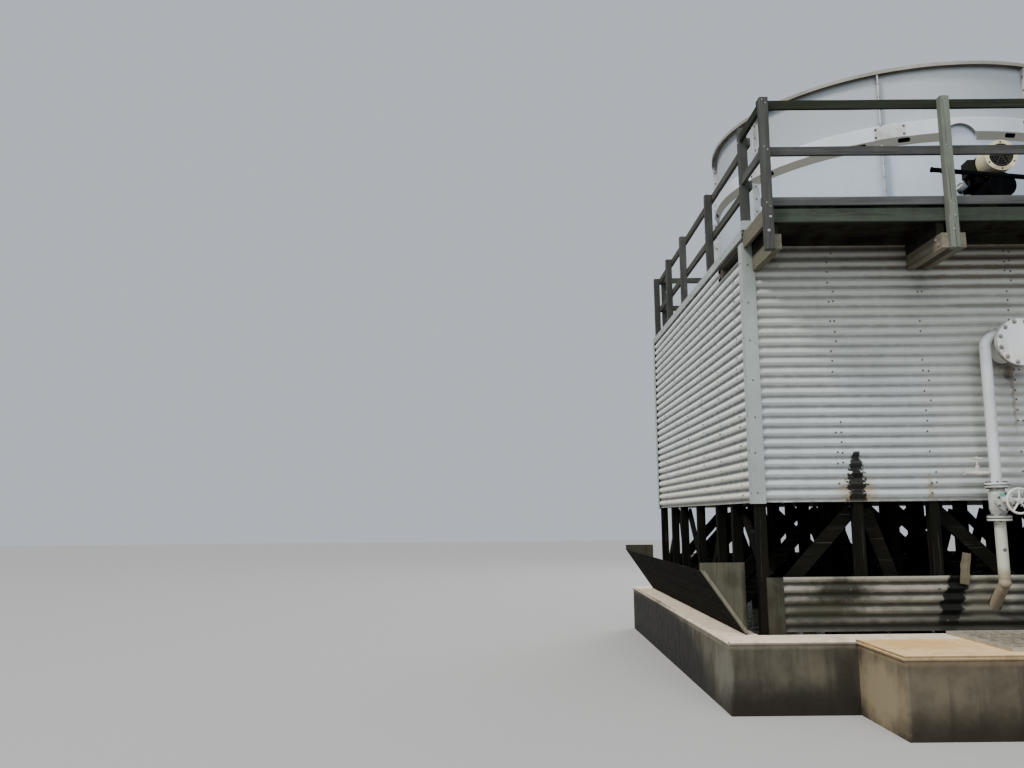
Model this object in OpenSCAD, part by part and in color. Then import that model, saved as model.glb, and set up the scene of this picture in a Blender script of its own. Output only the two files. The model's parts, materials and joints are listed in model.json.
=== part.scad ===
// Induced-draft cooling tower cell: timber frame over a concrete basin, corrugated casing, fan deck with
// a guarded walkway, a moulded fan stack with its fan and drive, and a bypass line with a gate valve.
// Millimetres, +Z up, ground at Z = 0, origin under the middle of the cell. The front looks along -Y.

/* [Cell] */
// Width of the cell over the corrugated casing, left to right
cell_w = 6096; // [5900:1:6600]
// Depth of the cell over the corrugated casing, front to back
cell_d = 6096; // [5900:1:6600]
// Height of the casing's lower edge above the ground
casing_low = 2020; // [1950:1:2120]
// Height of the casing's upper edge above the deck, on the sides and back
casing_rise = 58; // [40:1:90]
// Pitch of the corrugations
wave_pitch = 106.68; // [80:0.01:130]
// Depth of the corrugations from ridge to trough
wave_depth = 27; // [16:0.5:36]
// Thickness of the casing sheet
sheet_t = 5; // [4:0.5:8]
// Width of each leg of the corner angles
trim_w = 135; // [100:1:200]
// Thickness of the corner angles and edge strips
trim_t = 6; // [4:0.5:10]
// Distance from the casing's upper edge down to the torn gap in the left side
tear_drop = 105; // [95:1:140]
// Height of the torn gap
tear_h = 175; // [100:1:220]
// Length of the torn gap
tear_l = 1020; // [600:1:1400]
// Distance of the torn gap from the front corner
tear_inset = 98; // [60:1:200]

/* [Basin] */
// Height of the basin's curb above the ground
basin_h = 700; // [600:1:760]
// Distance that the basin's outer face stands out from the casing
basin_reach = 410; // [380:1:500]
// Thickness of the basin walls
basin_wall = 390; // [200:1:400]
// Thickness of the basin floor
floor_t = 150; // [100:1:220]
// Width of the sump in front of the basin
sump_w = 4440; // [3600:1:5000]
// Distance that the sump stands out from the basin
sump_reach = 1060; // [700:1:1400]
// Clear width of the sump pit
pit_w = 2300; // [1600:1:2800]
// Thickness of the sump's front wall
pit_wall = 250; // [150:1:320]

/* [Frame] */
// Side of the square timber columns
timber = 102; // [89:1:120]
// Spacing of the corner column and the next one
outer_bay = 1005; // [800:1:1100]
// Width of the inlet braces
brace_w = 140; // [90:1:160]
// Thickness of the inlet braces
brace_t = 38; // [25:1:51]
// Height of the higher feet of the inlet braces above the ground
brace_foot = 930; // [800:1:1100]
// Height of the beams under the fill and under the deck
beam_h = 150; // [120:1:180]
// Height of the fill's underside above the ground
fill_low = 2240; // [2200:1:2300]
// Height of the fill
fill_h = 1150; // [900:1:1160]
// Height of the drift eliminators' underside above the header
drift_gap = 186; // [120:1:220]
// Height of the drift eliminator blades
drift_h = 140; // [100:1:180]

/* [Skirt and splash boards] */
// Height of the skirt's upper edge above the ground
skirt_top = 1270; // [1100:1:1400]
// Height of the skirt's lower edge above the curb
skirt_gap = 25; // [10:1:60]
// Distance that the skirt stops short of the corner of the casing
skirt_inset = 268; // [200:1:400]
// Reach of the splash board's foot from the side casing
splash_foot = 118; // [60:1:200]
// Reach of the splash board's upper edge from the side casing
splash_out = 575; // [450:1:700]
// Height of the splash board's upper edge above the ground
splash_top = 1417; // [1250:1:1550]
// Thickness of the splash boards
splash_t = 20; // [12:1:30]
// Height of the brackets that hold the splash boards
bracket_h = 90; // [60:1:120]

/* [Deck and walkway] */
// Height of the deck surface above the ground
deck_top = 4862; // [4800:1:4900]
// Thickness of the deck planks
plank_t = 38; // [25:1:51]
// Reach of the front walkway from the casing
walk_reach = 852; // [700:1:1100]
// Height of the green board along the walkway's edge
fascia_h = 138; // [100:1:190]
// Height of the toe boards
toe_h = 89; // [70:1:140]
// Gap under the toe boards
toe_gap = 26; // [10:1:40]
// Height of the joists that carry the walkway
joist_h = 202; // [150:1:220]
// Height of the outriggers under the joists
rigger_h = 152; // [120:1:200]
// Thickness of each outrigger
rigger_t = 76; // [51:1:89]
// Height of the boards that close the walkway's ends
end_board_h = 172; // [140:1:190]
// Height by which the end boards stand up past the deck
end_board_rise = 30; // [0:1:60]

/* [Handrails] */
// Side of the square handrail posts
post = 89; // [76:1:102]
// Height of the front handrail above the deck
rail_h = 1170; // [1067:1:1200]
// Height by which the side and back handrails are lower than the front one
rail_drop = 50; // [0:1:90]
// Height of a rail board
rail_w = 92; // [76:1:140]
// Thickness of a rail board
rail_t = 38; // [25:1:45]
// Distance from the top rail's upper edge to the mid rail's upper edge
mid_drop = 490; // [400:1:560]
// Distance of the inner front posts from the middle
inner_post = 1176; // [1000:1:1400]
// Length of the two long bays of the side handrails
side_bay = 1760; // [1500:1:1900]
// Reach of the posts' feet under the walkway's deck
post_tail = 400; // [360:1:420]
// Height by which the sills under the side and back posts stand up past the deck
sill_rise = 66; // [50:1:89]
// Depth of the sills' notches over the deck beams
sill_notch = 31; // [20:1:40]

/* [Fan stack] */
// Outer radius of the stack wall
stack_r = 2400; // [2250:1:2440]
// Thickness of the stack wall
stack_t = 12; // [8:1:20]
// Height of the stack's rim above the deck
stack_h = 2288; // [2100:1:2500]
// Sideways offset of the stack from the middle of the cell
stack_x = -70; // [-120:1:0]
// Reach of the rim from the stack wall
rim_reach = 76; // [40:1:100]
// Height of the rim's turned-down lip
rim_h = 46; // [30:1:80]
// Reach of the stiffening hoop from the stack wall
hoop_reach = 54; // [40:1:80]
// Distance from the stack's rim down to the hoop's lower edge
hoop_drop = 950; // [850:1:1000]
// Height of the hoop
hoop_h = 262; // [240:1:320]
// Height of the hoop's sloped lower face
hoop_slope = 85; // [70:1:110]
// Thickness of the hoop's moulded skin
hoop_skin = 8; // [5:1:10]
// Length of the oval slots in the hoop's sloped face
slot_l = 138; // [90:1:170]
// Height of the oval slots
slot_h = 45; // [25:1:50]
// Radius of the arch in the hoop over the drive
arch_r = 200; // [170:1:220]
// Number of moulded panels around the stack
panels = 9; // [6:1:12]
// Reach of the panels' bolted flanges from the stack wall
flange_reach = 110; // [70:1:130]
// Turn of the drive line from straight ahead
drive_turn = 5; // [0:0.5:10]

/* [Fan and drive] */
// Number of fan blades
blades = 8; // [4:1:8]
// Gap between the blade tips and the stack wall
tip_gap = 38; // [20:1:80]
// Chord of a blade at its root
root_chord = 330; // [270:1:360]
// Chord of a blade at its tip
tip_chord = 240; // [180:1:280]
// Pitch of a blade at its root in degrees
root_pitch = 24; // [15:1:32]
// Twist of a blade from root to tip in degrees
blade_twist = 14; // [0:1:18]
// Radius of the fan hub
hub_r = 330; // [250:1:380]
// Thickness of the hub's two plates
hub_t = 14; // [8:1:20]
// Radius of the blades' round shanks
shank_r = 40; // [30:1:50]
// Length of the shanks between the hub's edge and the blades
neck = 100; // [60:1:160]
// Height of the fan's middle above the drive shaft
fan_rise = 450; // [400:1:520]
// Radius of the drive shaft
shaft_r = 45; // [35:1:60]
// Radius of the torque tube that carries the drive
tube_r = 136; // [110:1:150]
// Height of the torque tube's middle above the deck
tube_rise = 428; // [380:1:450]
// Distance of the motor's outer end from the middle of the stack
motor_end = 3400; // [3300:1:3450]
// Length of the motor
motor_l = 640; // [560:1:700]
// Radius of the motor's fan cover
motor_r = 166; // [140:1:185]
// Length of the motor's fan cover
cowl_l = 235; // [180:1:260]
// Gap between the fan cover and the torque tube
motor_gap = 18; // [14:1:30]
// Radius of the gearbox's round case
gear_r = 175; // [150:1:200]
// Distance of the gearbox's coupling from the middle of the stack
quill_l = 330; // [280:1:400]
// Radius of the shaft couplings
coupling_r = 100; // [70:1:110]
// Thickness of each shaft coupling
coupling_t = 45; // [30:1:60]
// Distance between the two beams under the drive
drive_beams = 600; // [540:1:700]

/* [Pipes] */
// Outer radius of the water header
header_r = 162; // [136:1:178]
// Distance of the header from the middle of the cell
header_x = -350; // [-420:1:-280]
// Height of the header above the top of the fill
header_rise = 222; // [200:1:260]
// Gap between the branch's flange and the header's flange
header_gap = 6; // [4:1:30]
// Thickness of the header's flange
header_flange_t = 30; // [20:1:40]
// Outer radius of the bypass pipe
bypass_r = 55; // [45:1:60]
// Distance of the bypass pipe from the middle of the cell
bypass_x = -640; // [-700:1:-620]
// Distance of the bypass pipe from the casing
bypass_off = 202; // [180:1:240]
// Height of the branch that feeds the bypass pipe above the header's middle
branch_rise = 88; // [60:1:95]
// Radius of the branch's flange
branch_flange_r = 92; // [80:1:100]
// Height of the gate valve's middle above the ground
valve_z = 2006; // [1960:1:2060]
// Length of the gate valve between its flanges' outer faces
valve_l = 330; // [290:1:380]
// Radius of the flanges on the bypass pipe
flange_r = 114; // [100:1:125]
// Radius of the gate valve's handwheel
wheel_r = 130; // [100:1:150]
// Distance of the handwheel from the bypass pipe
wheel_off = 390; // [340:1:430]
// Height of the tap on the bypass pipe above the gate valve's middle
tap_rise = 289; // [270:1:330]

/* [Bar behind the posts] */
// Radius of the bar
bar_r = 24; // [16:1:30]
// Distance of the bar behind the posts
bar_off = 51; // [35:1:70]
// Height of the bar's middle above the deck
bar_rise = 325; // [300:1:340]
// Slope of the bar in degrees, down to the right
bar_slope = 5.3; // [0:0.1:6]

/* [Hidden] */
$fn = 96;
half_w = cell_w / 2;
half_d = cell_d / 2;
seat = 0.3;
out_x = half_w + basin_reach;
out_y = half_d + basin_reach;
wall_in_y = out_y - basin_wall;
lip = 20;
lip_h = 55;
skin = wave_depth + sheet_t;
first_ridge = 2101.7;
wave_steps = 8;
col_x = half_w - skin - timber / 2;
col_y = half_d - skin - timber / 2;
spots_x = [-col_x, -col_x + outer_bay, -inner_post, 0, inner_post, col_x - outer_bay, col_x];
spots_y = [-col_y, -col_y + outer_bay, -inner_post, 0, inner_post, col_y - outer_bay, col_y];
inner_rows = [1:5];
brace_gap = 30;
brace_spread = 100;
side_lift = 230;
brace_top = fill_low - beam_h - brace_w;
brace_low = floor_t + brace_w / 2 + 12;
fill_top = fill_low + fill_h;
header_z = fill_top + header_rise;
drift_low = header_z + header_r + drift_gap;
casing_top = deck_top + casing_rise;
deck_under = deck_top - plank_t;
beam_z = deck_under - beam_h;
strip_h = 90;
angle_drop = 42;
cap_block_w = 110;
cap_block_h = 101;
cap_inset = 12;
tear_high = casing_top - tear_drop;
tear_low = tear_high - tear_h;
rim_margin = 90;
hole_r = stack_r - rim_margin;
walk_y = half_d + walk_reach;
walk_back = -half_d - trim_t - seat;
board_back = -walk_y + post + rail_t;
joist_z = deck_under - joist_h;
rigger_z = joist_z - rigger_h;
corner_post = half_w - post / 2 - 18;
walk_half = corner_post + post / 2;
rigger_x = [-corner_post + (post + rigger_t) / 2 + seat, -inner_post - (post + rigger_t) / 2 - seat,
    -inner_post + (post + rigger_t) / 2 + seat];
sill_x = half_w - skin - 2;
sill_y = half_d - skin - 2;
sill_low = deck_under - sill_notch;
sill_top = deck_top + sill_rise;
rail_z = deck_top + rail_h;
side_rail_z = rail_z - rail_drop;
stack_top = deck_top + stack_h;
stack_in = stack_r - stack_t;
foot_t = 14;
panel_turn = 360 / panels;
drive_az = -90 - drive_turn;
hoop_low = stack_top - hoop_drop;
seam_gap = 1;
tube_z = deck_top + tube_rise;
tube_top = tube_z + tube_r;
shaft_z = tube_top + motor_r + motor_gap;
fan_z = shaft_z + fan_rise;
hub_half = shank_r + seat + hub_t;
blade_root = hub_r + neck;
cowl_t = 8;
header_y = -half_d - bypass_off - branch_flange_r - header_gap - header_flange_t;
header_flange_r = header_r + 78;
bypass_y = -half_d - bypass_off;
branch_z = header_z + branch_rise;
bend = 120;
skirt_hole = 960;
skirt_play = 9;
drop_z = 1205;
tail_run = bypass_off + 40;
tail_lean = atan2(tail_run, drop_z - skirt_hole);
pipe_flange_t = 24;
stem_r = 14;
wheel_hub = 16;
run_gap = 0.08;
tap_stem_r = 7;
tap_hub = 11;
tap_z = valve_z + tap_rise;
tap_x = bypass_x - bypass_r - 124;
tap_bar_z = tap_z + 146;

// Inward depth of the corrugation at height z, 0 on a ridge
function wave(z) = wave_depth / 2 * (1 - cos(360 * (z - first_ridge) / wave_pitch));

// Heights at which a sheet from low to high is sampled, both ends among them
function wave_heights(low, high) =
    let (step = wave_pitch / wave_steps, n = floor((high - low) / step))
    concat([for (i = [0:n]) low + i * step], low + n * step < high - 1 ? [high] : []);

// Corrugated sheet standing on the XZ plane from x0 to x1, its ridges at y = 0 and its back towards +Y
module wave_sheet(x0, x1, low, high) {
    zs = wave_heights(low, high);
    outer = [for (z = zs) [wave(z), z]];
    inner = [for (i = [len(zs) - 1:-1:0]) [wave(zs[i]) + sheet_t, zs[i]]];
    translate([x0, 0, 0]) rotate([90, 0, 90]) linear_extrude(x1 - x0) polygon(concat(outer, inner));
}

// Children turned so that -Y faces the given side of the cell
module on_side(turn) { rotate([0, 0, turn]) children(); }

module box(low, high) { translate(low) cube(high - low); }

// Children as they are and mirrored to the other side
module both_sides() { children(); mirror([1, 0, 0]) children(); }

// Children placed along the drive line: -Y runs outwards from the stack's middle
module on_drive() { translate([stack_x, 0, 0]) rotate([0, 0, -drive_turn]) children(); }

// Cylinder along Y from y0 to y1
module rod_y(r, x, z, y0, y1) { translate([x, y0, z]) rotate([-90, 0, 0]) cylinder(r = r, h = y1 - y0); }

// Cylinder along X from x0 to x1
module rod_x(r, y, z, x0, x1) { translate([x0, y, z]) rotate([0, 90, 0]) cylinder(r = r, h = x1 - x0); }

// Profile of a basin wall with its curb lip, outer face at u = 0
module curb_profile(thick) {
    polygon([[0, floor_t], [0, basin_h - lip_h], [-lip, basin_h - lip_h + lip], [-lip, basin_h - lip],
        [0, basin_h], [thick, basin_h], [thick, floor_t]]);
}

module curb_wall(length) {
    translate([-length / 2, 0, 0]) rotate([90, 0, 90]) linear_extrude(length) curb_profile(basin_wall);
}

module basin_floor() {
    color("#8d8371") box([-out_x, -out_y, 0], [out_x, out_y, floor_t]);
}

module basin_wall_front() {
    sump_half = sump_w / 2 + lip;
    color("#a2937c") difference() {
        translate([0, -out_y, 0]) curb_wall(2 * out_x);
        box([-pit_w / 2, -out_y - 100, floor_t], [pit_w / 2, 0, basin_h + 1]);
        box([-sump_half, -out_y - 100, 0], [sump_half, -out_y, basin_h + 1]);
    }
}

module basin_wall_back() {
    color("#a2937c") on_side(180) translate([0, -out_y, 0]) curb_wall(2 * out_x);
}

module side_wall() { translate([0, -out_x, 0]) curb_wall(2 * wall_in_y); }

module basin_wall_left() { color("#a2937c") on_side(-90) side_wall(); }

module basin_wall_right() { color("#a2937c") on_side(90) side_wall(); }

module sump_box() {
    sump_y = -out_y - sump_reach;
    color("#b09c80") difference() {
        union() {
            box([-sump_w / 2, sump_y, 0], [sump_w / 2, -out_y, basin_h]);
            box([-sump_w / 2 - lip, sump_y - lip, basin_h - lip_h + lip], [sump_w / 2 + lip, -out_y, basin_h - lip]);
        }
        box([-pit_w / 2, sump_y + pit_wall, floor_t], [pit_w / 2, -out_y + 1, basin_h + 1]);
    }
}

module sump_grating() {
    rim = 50;
    bar = 8;
    gap = 100;
    low = basin_h;
    high = basin_h + 32;
    y0 = -out_y - sump_reach + pit_wall - rim;
    y1 = -half_d - 60;
    w = pit_w / 2 + rim;
    color("#b8b4a6") {
        difference() {
            box([-w, y0, low], [w, y1, high]);
            box([-w + rim, y0 + rim, low - 1], [w - rim, y1 - rim, high + 1]);
        }
        for (x = [-w + rim + gap:gap:w - rim - bar]) box([x, y0 + rim - 1, low], [x + bar, y1 - rim + 1, high]);
        for (y = [y0 + rim + 2 * gap:2 * gap:y1 - rim - bar])
            box([-w + rim - 1, y, low + 8], [w - rim + 1, y + bar, high - 6]);
    }
}

module column(x, y, high) {
    box([x - timber / 2, y - timber / 2, floor_t], [x + timber / 2, y + timber / 2, high]);
}

// Outer columns up to the deck beams, and inner columns up to the beams under the fill
module columns() {
    color("#5d5648") {
        for (x = spots_x, s = [-1, 1]) column(x, s * col_y, beam_z);
        for (i = inner_rows, s = [-1, 1]) column(s * col_x, spots_y[i], beam_z);
        for (i = inner_rows, j = inner_rows) column(spots_x[i], spots_y[j], fill_low - beam_h);
    }
}

// Brace between two points of the XZ plane, its back on y = 0
module brace(a, b) {
    run = b - a;
    translate([a[0], 0, a[1]]) rotate([0, -atan2(run[1], run[0]), 0])
        box([0, 0, -brace_w / 2], [norm(run), brace_t, brace_w / 2]);
}

// Braces over the columns at -far, -near and 0 of a half row, lying on y = 0
module half_row(end, lift) {
    far = end - outer_bay;
    near = inner_post;
    brace([-far - brace_gap, brace_top], [-end + 25, brace_foot + lift]);
    brace([-far + brace_spread, brace_top], [-near - 94, brace_low]);
    brace([-near + 40, brace_top], [-90, brace_foot]);
}

module inlet_braces() {
    back = timber / 2;
    color("#453f35") {
        for (t = [0, 180]) on_side(t) for (row = [0:2])
            translate([0, spots_y[row] + back, 0]) both_sides() half_row(col_x, 0);
        for (t = [-90, 90]) on_side(t)
            translate([0, -col_x + back, 0]) both_sides() half_row(col_y, side_lift);
    }
}

module fill_beams() {
    low = fill_low - beam_h;
    reach = col_x - timber / 2;
    color("#4f493d") for (j = inner_rows)
        box([-reach, spots_y[j] - timber / 2, low], [reach, spots_y[j] + timber / 2, fill_low]);
}

module fill_pack() {
    reach_x = col_x - timber / 2;
    reach_y = col_y - timber / 2;
    color("#3a3d3b") box([-reach_x, -reach_y, fill_low], [reach_x, reach_y, fill_top]);
}

module drift_eliminators() {
    reach_x = col_x - timber / 2;
    reach_y = col_y - timber / 2;
    rim = 60;
    blade_gap = 150;
    blade_t = 8;
    high = drift_low + drift_h;
    color("#6d7470") {
        difference() {
            box([-reach_x, -reach_y, drift_low], [reach_x, reach_y, high]);
            box([-reach_x + rim, -reach_y + rim, drift_low - 1], [reach_x - rim, reach_y - rim, high + 1]);
        }
        for (x = [-reach_x + rim + blade_gap:blade_gap:reach_x - rim - blade_gap / 2])
            translate([x, 0, drift_low + drift_h / 2]) rotate([0, 35, 0])
                box([-blade_t / 2, -reach_y + rim - 1, -drift_h / 2], [blade_t / 2, reach_y - rim + 1, drift_h / 2]);
    }
}

module casing_front() {
    color("#c3c7c7") difference() {
        translate([0, -half_d, 0]) wave_sheet(-sill_x, sill_x, casing_low, sill_low - seat);
        rod_y(header_r + 12, header_x, header_z, -half_d - 50, -half_d + 100);
    }
}

module casing_back() {
    color("#c3c7c7") on_side(180) translate([0, -half_d, 0]) wave_sheet(-sill_x, sill_x, casing_low, casing_top);
}

// Side casing with the torn gap under its upper edge: a lower sheet and three short ones around the gap
module casing_left() {
    near = half_d - tear_inset;
    far = near - tear_l;
    color("#d8dadb") on_side(-90) translate([0, -half_w, 0]) {
        wave_sheet(-half_d, half_d, casing_low, tear_low);
        wave_sheet(-half_d, far, tear_low + seat, casing_top);
        wave_sheet(far + seat, near - seat, tear_high, casing_top);
        wave_sheet(near, half_d, tear_low + seat, casing_top);
    }
}

module casing_right() {
    color("#d8dadb") on_side(90) translate([0, -half_w, 0]) wave_sheet(-half_d, half_d, casing_low, casing_top);
}

// Corner angle up to the given height, at the front left corner
module corner_angle(high) {
    low = casing_low - 10;
    translate([-half_w - trim_t, -half_d - trim_t, low]) {
        cube([trim_w, trim_t, high - low]);
        cube([trim_t, trim_w, high - low]);
    }
}

module edge_trims() {
    low = casing_top - strip_h;
    high = casing_top + 4;
    color("#d4d6d3") both_sides() {
        corner_angle(deck_under - angle_drop);
        mirror([0, 1, 0]) corner_angle(low - 2);
        box([-half_w - trim_t, -half_d, low], [-half_w, half_d - 1, high]);
        box([-half_w + cap_inset, -half_d - trim_t, sill_top + seat],
            [-half_w + cap_inset + cap_block_w, -sill_y - seat, sill_top + cap_block_h]);
    }
    color("#d4d6d3") box([-half_w, half_d, low], [half_w, half_d + trim_t, high]);
}

// Leaning foot of the bypass pipe, through the skirt
module bypass_tail(r) {
    translate([bypass_x, bypass_y, drop_z]) rotate([-180 + tail_lean, 0, 0])
        cylinder(r = r, h = norm([tail_run, drop_z - skirt_hole]));
}

// Corrugated skirt between the basin's curb and the air inlet, with a board at each end
module skirt() {
    reach = half_w - skirt_inset;
    board = 165;
    wave_sheet(-reach, reach, basin_h + skirt_gap, skirt_top);
    both_sides() box([-reach - board - 3, -2, basin_h], [-reach - 3, skin, skirt_top - 8]);
}

module skirts() {
    color("#8f8a78") {
        difference() {
            translate([0, -half_d, 0]) skirt();
            bypass_tail(bypass_r + skirt_play);
        }
        on_side(180) translate([0, -half_d, 0]) skirt();
    }
}

// Prism along X from x0 to x1 over points of the YZ plane
module prism(x0, x1, points) {
    translate([x0, 0, 0]) rotate([90, 0, 90]) linear_extrude(x1 - x0) polygon(points);
}

// Sloped board that returns splashed water, with triangular cheeks and brackets to the columns
module splash_board() {
    half = half_d - 8;
    foot = -splash_foot;
    rise = splash_top - 77;
    low = basin_h + 90;
    high = low + bracket_h;
    lean = (splash_out - splash_t - splash_foot) / (rise - basin_h);
    function slope_in(z) = foot - lean * (z - basin_h) + seat;
    prism(-half + splash_t + seat, half - splash_t - seat,
        [[foot, basin_h], [foot - splash_t, basin_h], [-splash_out, rise], [-splash_out + splash_t, rise]]);
    both_sides() prism(-half, -half + splash_t,
        [[foot, basin_h], [foot, splash_top], [-splash_out, splash_top], [-splash_out, rise],
            [foot - splash_t, basin_h]]);
    for (i = inner_rows) prism(spots_y[i] - 20, spots_y[i] + 20,
        [[slope_in(low), low], [skin, low], [skin, high], [slope_in(high), high]]);
}

module splash_boards() {
    color("#7d7461") for (t = [-90, 90]) on_side(t) translate([0, -half_w, 0]) splash_board();
}

module deck_beam(y) {
    box([-col_x - timber / 2, y - timber / 2, beam_z], [col_x + timber / 2, y + timber / 2, deck_under]);
}

// Beams under the deck, cut back to the fan's hole, and the two beams under the drive
module deck_beams() {
    end = col_y - timber / 2 - seat;
    color("#5a5346") {
        difference() {
            for (y = spots_y) deck_beam(y);
            translate([stack_x, 0, beam_z - 1]) cylinder(r = hole_r, h = beam_h + 2);
        }
        for (s = [-1, 1]) translate([stack_x + s * drive_beams / 2, 0, 0])
            box([-timber / 2, -end, beam_z], [timber / 2, end, deck_under]);
    }
}

module fan_deck() {
    reach = sill_x - post - seat;
    color("#7b7769") difference() {
        box([-reach, -sill_y, deck_under], [reach, sill_y - post - seat, deck_top]);
        translate([stack_x, 0, deck_under - 1]) cylinder(r = hole_r, h = plank_t + 2);
    }
}

// Outriggers beside the posts and the joists on them
module walkway_outriggers() {
    color("#6f6a5c") both_sides() for (x = rigger_x) translate([x, 0, 0]) {
        box([-rigger_t / 2, -walk_y + 40, rigger_z], [rigger_t / 2, walk_back, joist_z - seat]);
        box([-rigger_t / 2, board_back + seat, joist_z], [rigger_t / 2, walk_back, deck_under]);
    }
}

module walkway_deck() {
    inner = -walk_y + post;
    plank_half = walk_half - rail_t - seat;
    deck_half = sill_x - post - seat;
    low = deck_top + end_board_rise - end_board_h;
    color("#6b6f5f") {
        box([-plank_half, board_back + seat, deck_under], [plank_half, walk_back, deck_top]);
        box([-deck_half, walk_back - 1, deck_under], [deck_half, -half_d + skin, deck_top]);
    }
    color("#5d6b52") box([-plank_half, inner, deck_top - fascia_h], [plank_half, board_back, deck_top]);
    color("#77746c")
        box([-walk_half, inner, deck_top + toe_gap], [walk_half, board_back, deck_top + toe_gap + toe_h]);
    color("#66695b") both_sides()
        box([-walk_half, inner, low], [-walk_half + rail_t, walk_back, deck_top + toe_gap - seat]);
}

module post_at(x, y, low, high) { box([x - post / 2, y - post / 2, low], [x + post / 2, y + post / 2, high]); }

// Posts of the walkway, the rails behind them and the short rails back to the cell
module handrail_front() {
    back = -walk_y + post + seat;
    color("#6e6d66") {
        for (x = [-corner_post, -inner_post, inner_post, corner_post])
            post_at(x, -walk_y + post / 2, deck_top - post_tail, rail_z);
        for (z = [rail_z, rail_z - mid_drop]) {
            box([-walk_half, back, z - rail_w], [walk_half, back + rail_t, z]);
            for (s = [-1, 1]) translate([s * corner_post, 0, 0])
                box([-rail_t / 2, back + rail_t + seat, z - rail_w], [rail_t / 2, -sill_y - seat, z]);
        }
    }
}

// Handrail of the left side: a sill over the ends of the deck beams, posts on it and rails inside them
module side_handrail() {
    first = -sill_y + post / 2;
    short = (-first - (first + 2 * side_bay)) / 2;
    inner = -sill_x + post;
    difference() {
        box([-sill_x, -half_d - trim_t, sill_low], [inner, sill_y, sill_top]);
        for (y = spots_y)
            box([-sill_x - 1, y - timber / 2 - seat, beam_z], [inner + 1, y + timber / 2 + seat, deck_under + seat]);
    }
    for (y = [first, first + side_bay, first + 2 * side_bay, -first - short, -first])
        post_at(-sill_x + post / 2, y, sill_top + seat, side_rail_z);
    for (z = [side_rail_z, side_rail_z - mid_drop])
        box([inner + seat, -sill_y, z - rail_w], [inner + seat + rail_t, sill_y, z]);
}

module handrail_left() { color("#6e6d66") side_handrail(); }

module handrail_right() { color("#6e6d66") mirror([1, 0, 0]) side_handrail(); }

module handrail_back() {
    inner = sill_y - post;
    sill_end = sill_x - post - seat;
    end = sill_end - rail_t - 2;
    spot = end - post / 2;
    color("#6e6d66") {
        box([-sill_end, inner, deck_under + seat], [sill_end, sill_y, sill_top]);
        for (i = [0:3]) post_at(-spot + i * spot * 2 / 3, sill_y - post / 2, sill_top + seat, side_rail_z);
        for (z = [side_rail_z, side_rail_z - mid_drop])
            box([-end, inner - seat - rail_t, z - rail_w], [end, inner - seat, z]);
    }
}

// Children, a profile in the plane of the radius and the height, turned about the stack's axis
module ring(from, angle) {
    translate([stack_x, 0, 0]) rotate([0, 0, from]) rotate_extrude(angle = angle, $fn = 144) children();
}

// Children turned to an angle about the stack's axis, X along the radius
module at_angle(a) { translate([stack_x, 0, 0]) rotate([0, 0, a]) children(); }

module stack_wall() {
    body_top = stack_top - rim_h;
    color("#dfe2e4") difference() {
        ring(0, 360) polygon([[stack_in, deck_top], [stack_r + rim_margin, deck_top],
            [stack_r + rim_margin, deck_top + foot_t], [stack_r, deck_top + foot_t], [stack_r, body_top],
            [stack_in, body_top]]);
        on_drive() rod_y(shaft_r + 30, 0, shaft_z, -stack_r - 100, -stack_r + 200);
        on_drive() rod_y(tube_r + 12, 0, tube_z, -stack_r - 100, -stack_r + 200);
    }
}

module stack_rim() {
    low = stack_top - rim_h;
    edge = stack_r + rim_reach;
    under = stack_top - 12;
    color("#b9b5a6") ring(0, 360) polygon([[stack_in, low], [stack_r, low], [stack_r, under], [edge - 10, under],
        [edge - 10, low], [edge, low], [edge, stack_top - 6], [edge - 6, stack_top], [stack_in, stack_top]]);
}

// Outline of the hoop over its height, and the space inside its skin, open to the stack wall
module hoop_outline() {
    foot = stack_r + seat;
    edge = stack_r + hoop_reach;
    top = hoop_low + hoop_h;
    polygon([[foot, hoop_low], [edge, hoop_low + hoop_slope], [edge, top - 12], [edge - 12, top], [foot, top]]);
}

module hoop_space() {
    edge = stack_r + hoop_reach - hoop_skin;
    rise = hoop_slope / hoop_reach;
    low = hoop_low + hoop_skin * norm([1, rise]);
    polygon([[stack_r - 1, low - rise], [edge, low + rise * (hoop_reach - hoop_skin)],
        [edge, hoop_low + hoop_h - hoop_skin], [stack_r - 1, hoop_low + hoop_h - hoop_skin]]);
}

// Round cutter along the radius, over the drive
module arch_cutter(r) {
    at_angle(drive_az) translate([stack_r - 60, 0, hoop_low - 11]) rotate([0, 90, 0]) cylinder(r = r, h = 160);
}

// Oval cutter along the radius at an angle
module slot_cutter(a) {
    run = slot_l - slot_h;
    at_angle(a) translate([stack_r + 8, 0, hoop_low + 50]) {
        for (s = [-1, 1]) translate([0, s * run / 2, 0]) rotate([0, 90, 0]) cylinder(r = slot_h / 2, h = 60);
        box([0, -run / 2, -slot_h / 2], [60, run / 2, slot_h / 2]);
    }
}

// One moulded panel of the hoop: a hollow skin with closed ends and two oval slots, arched over the drive
module hoop_panel(mid, arched) {
    gap = asin(seam_gap / stack_r);
    cap = asin(hoop_skin / stack_r);
    from = mid - panel_turn / 2 + gap;
    turn = panel_turn - 2 * gap;
    slot_turn = 5.7;
    difference() {
        ring(from, turn) hoop_outline();
        difference() {
            ring(from + cap, turn - 2 * cap) hoop_space();
            if (arched) arch_cutter(arch_r + hoop_skin);
        }
        if (arched) arch_cutter(arch_r);
        for (s = [-1, 1]) slot_cutter(mid + s * (panel_turn / 2 - slot_turn));
    }
}

module stack_hoop() {
    color("#d3d0c4") for (i = [0:panels - 1]) hoop_panel(drive_az + i * panel_turn, i == 0);
}

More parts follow.
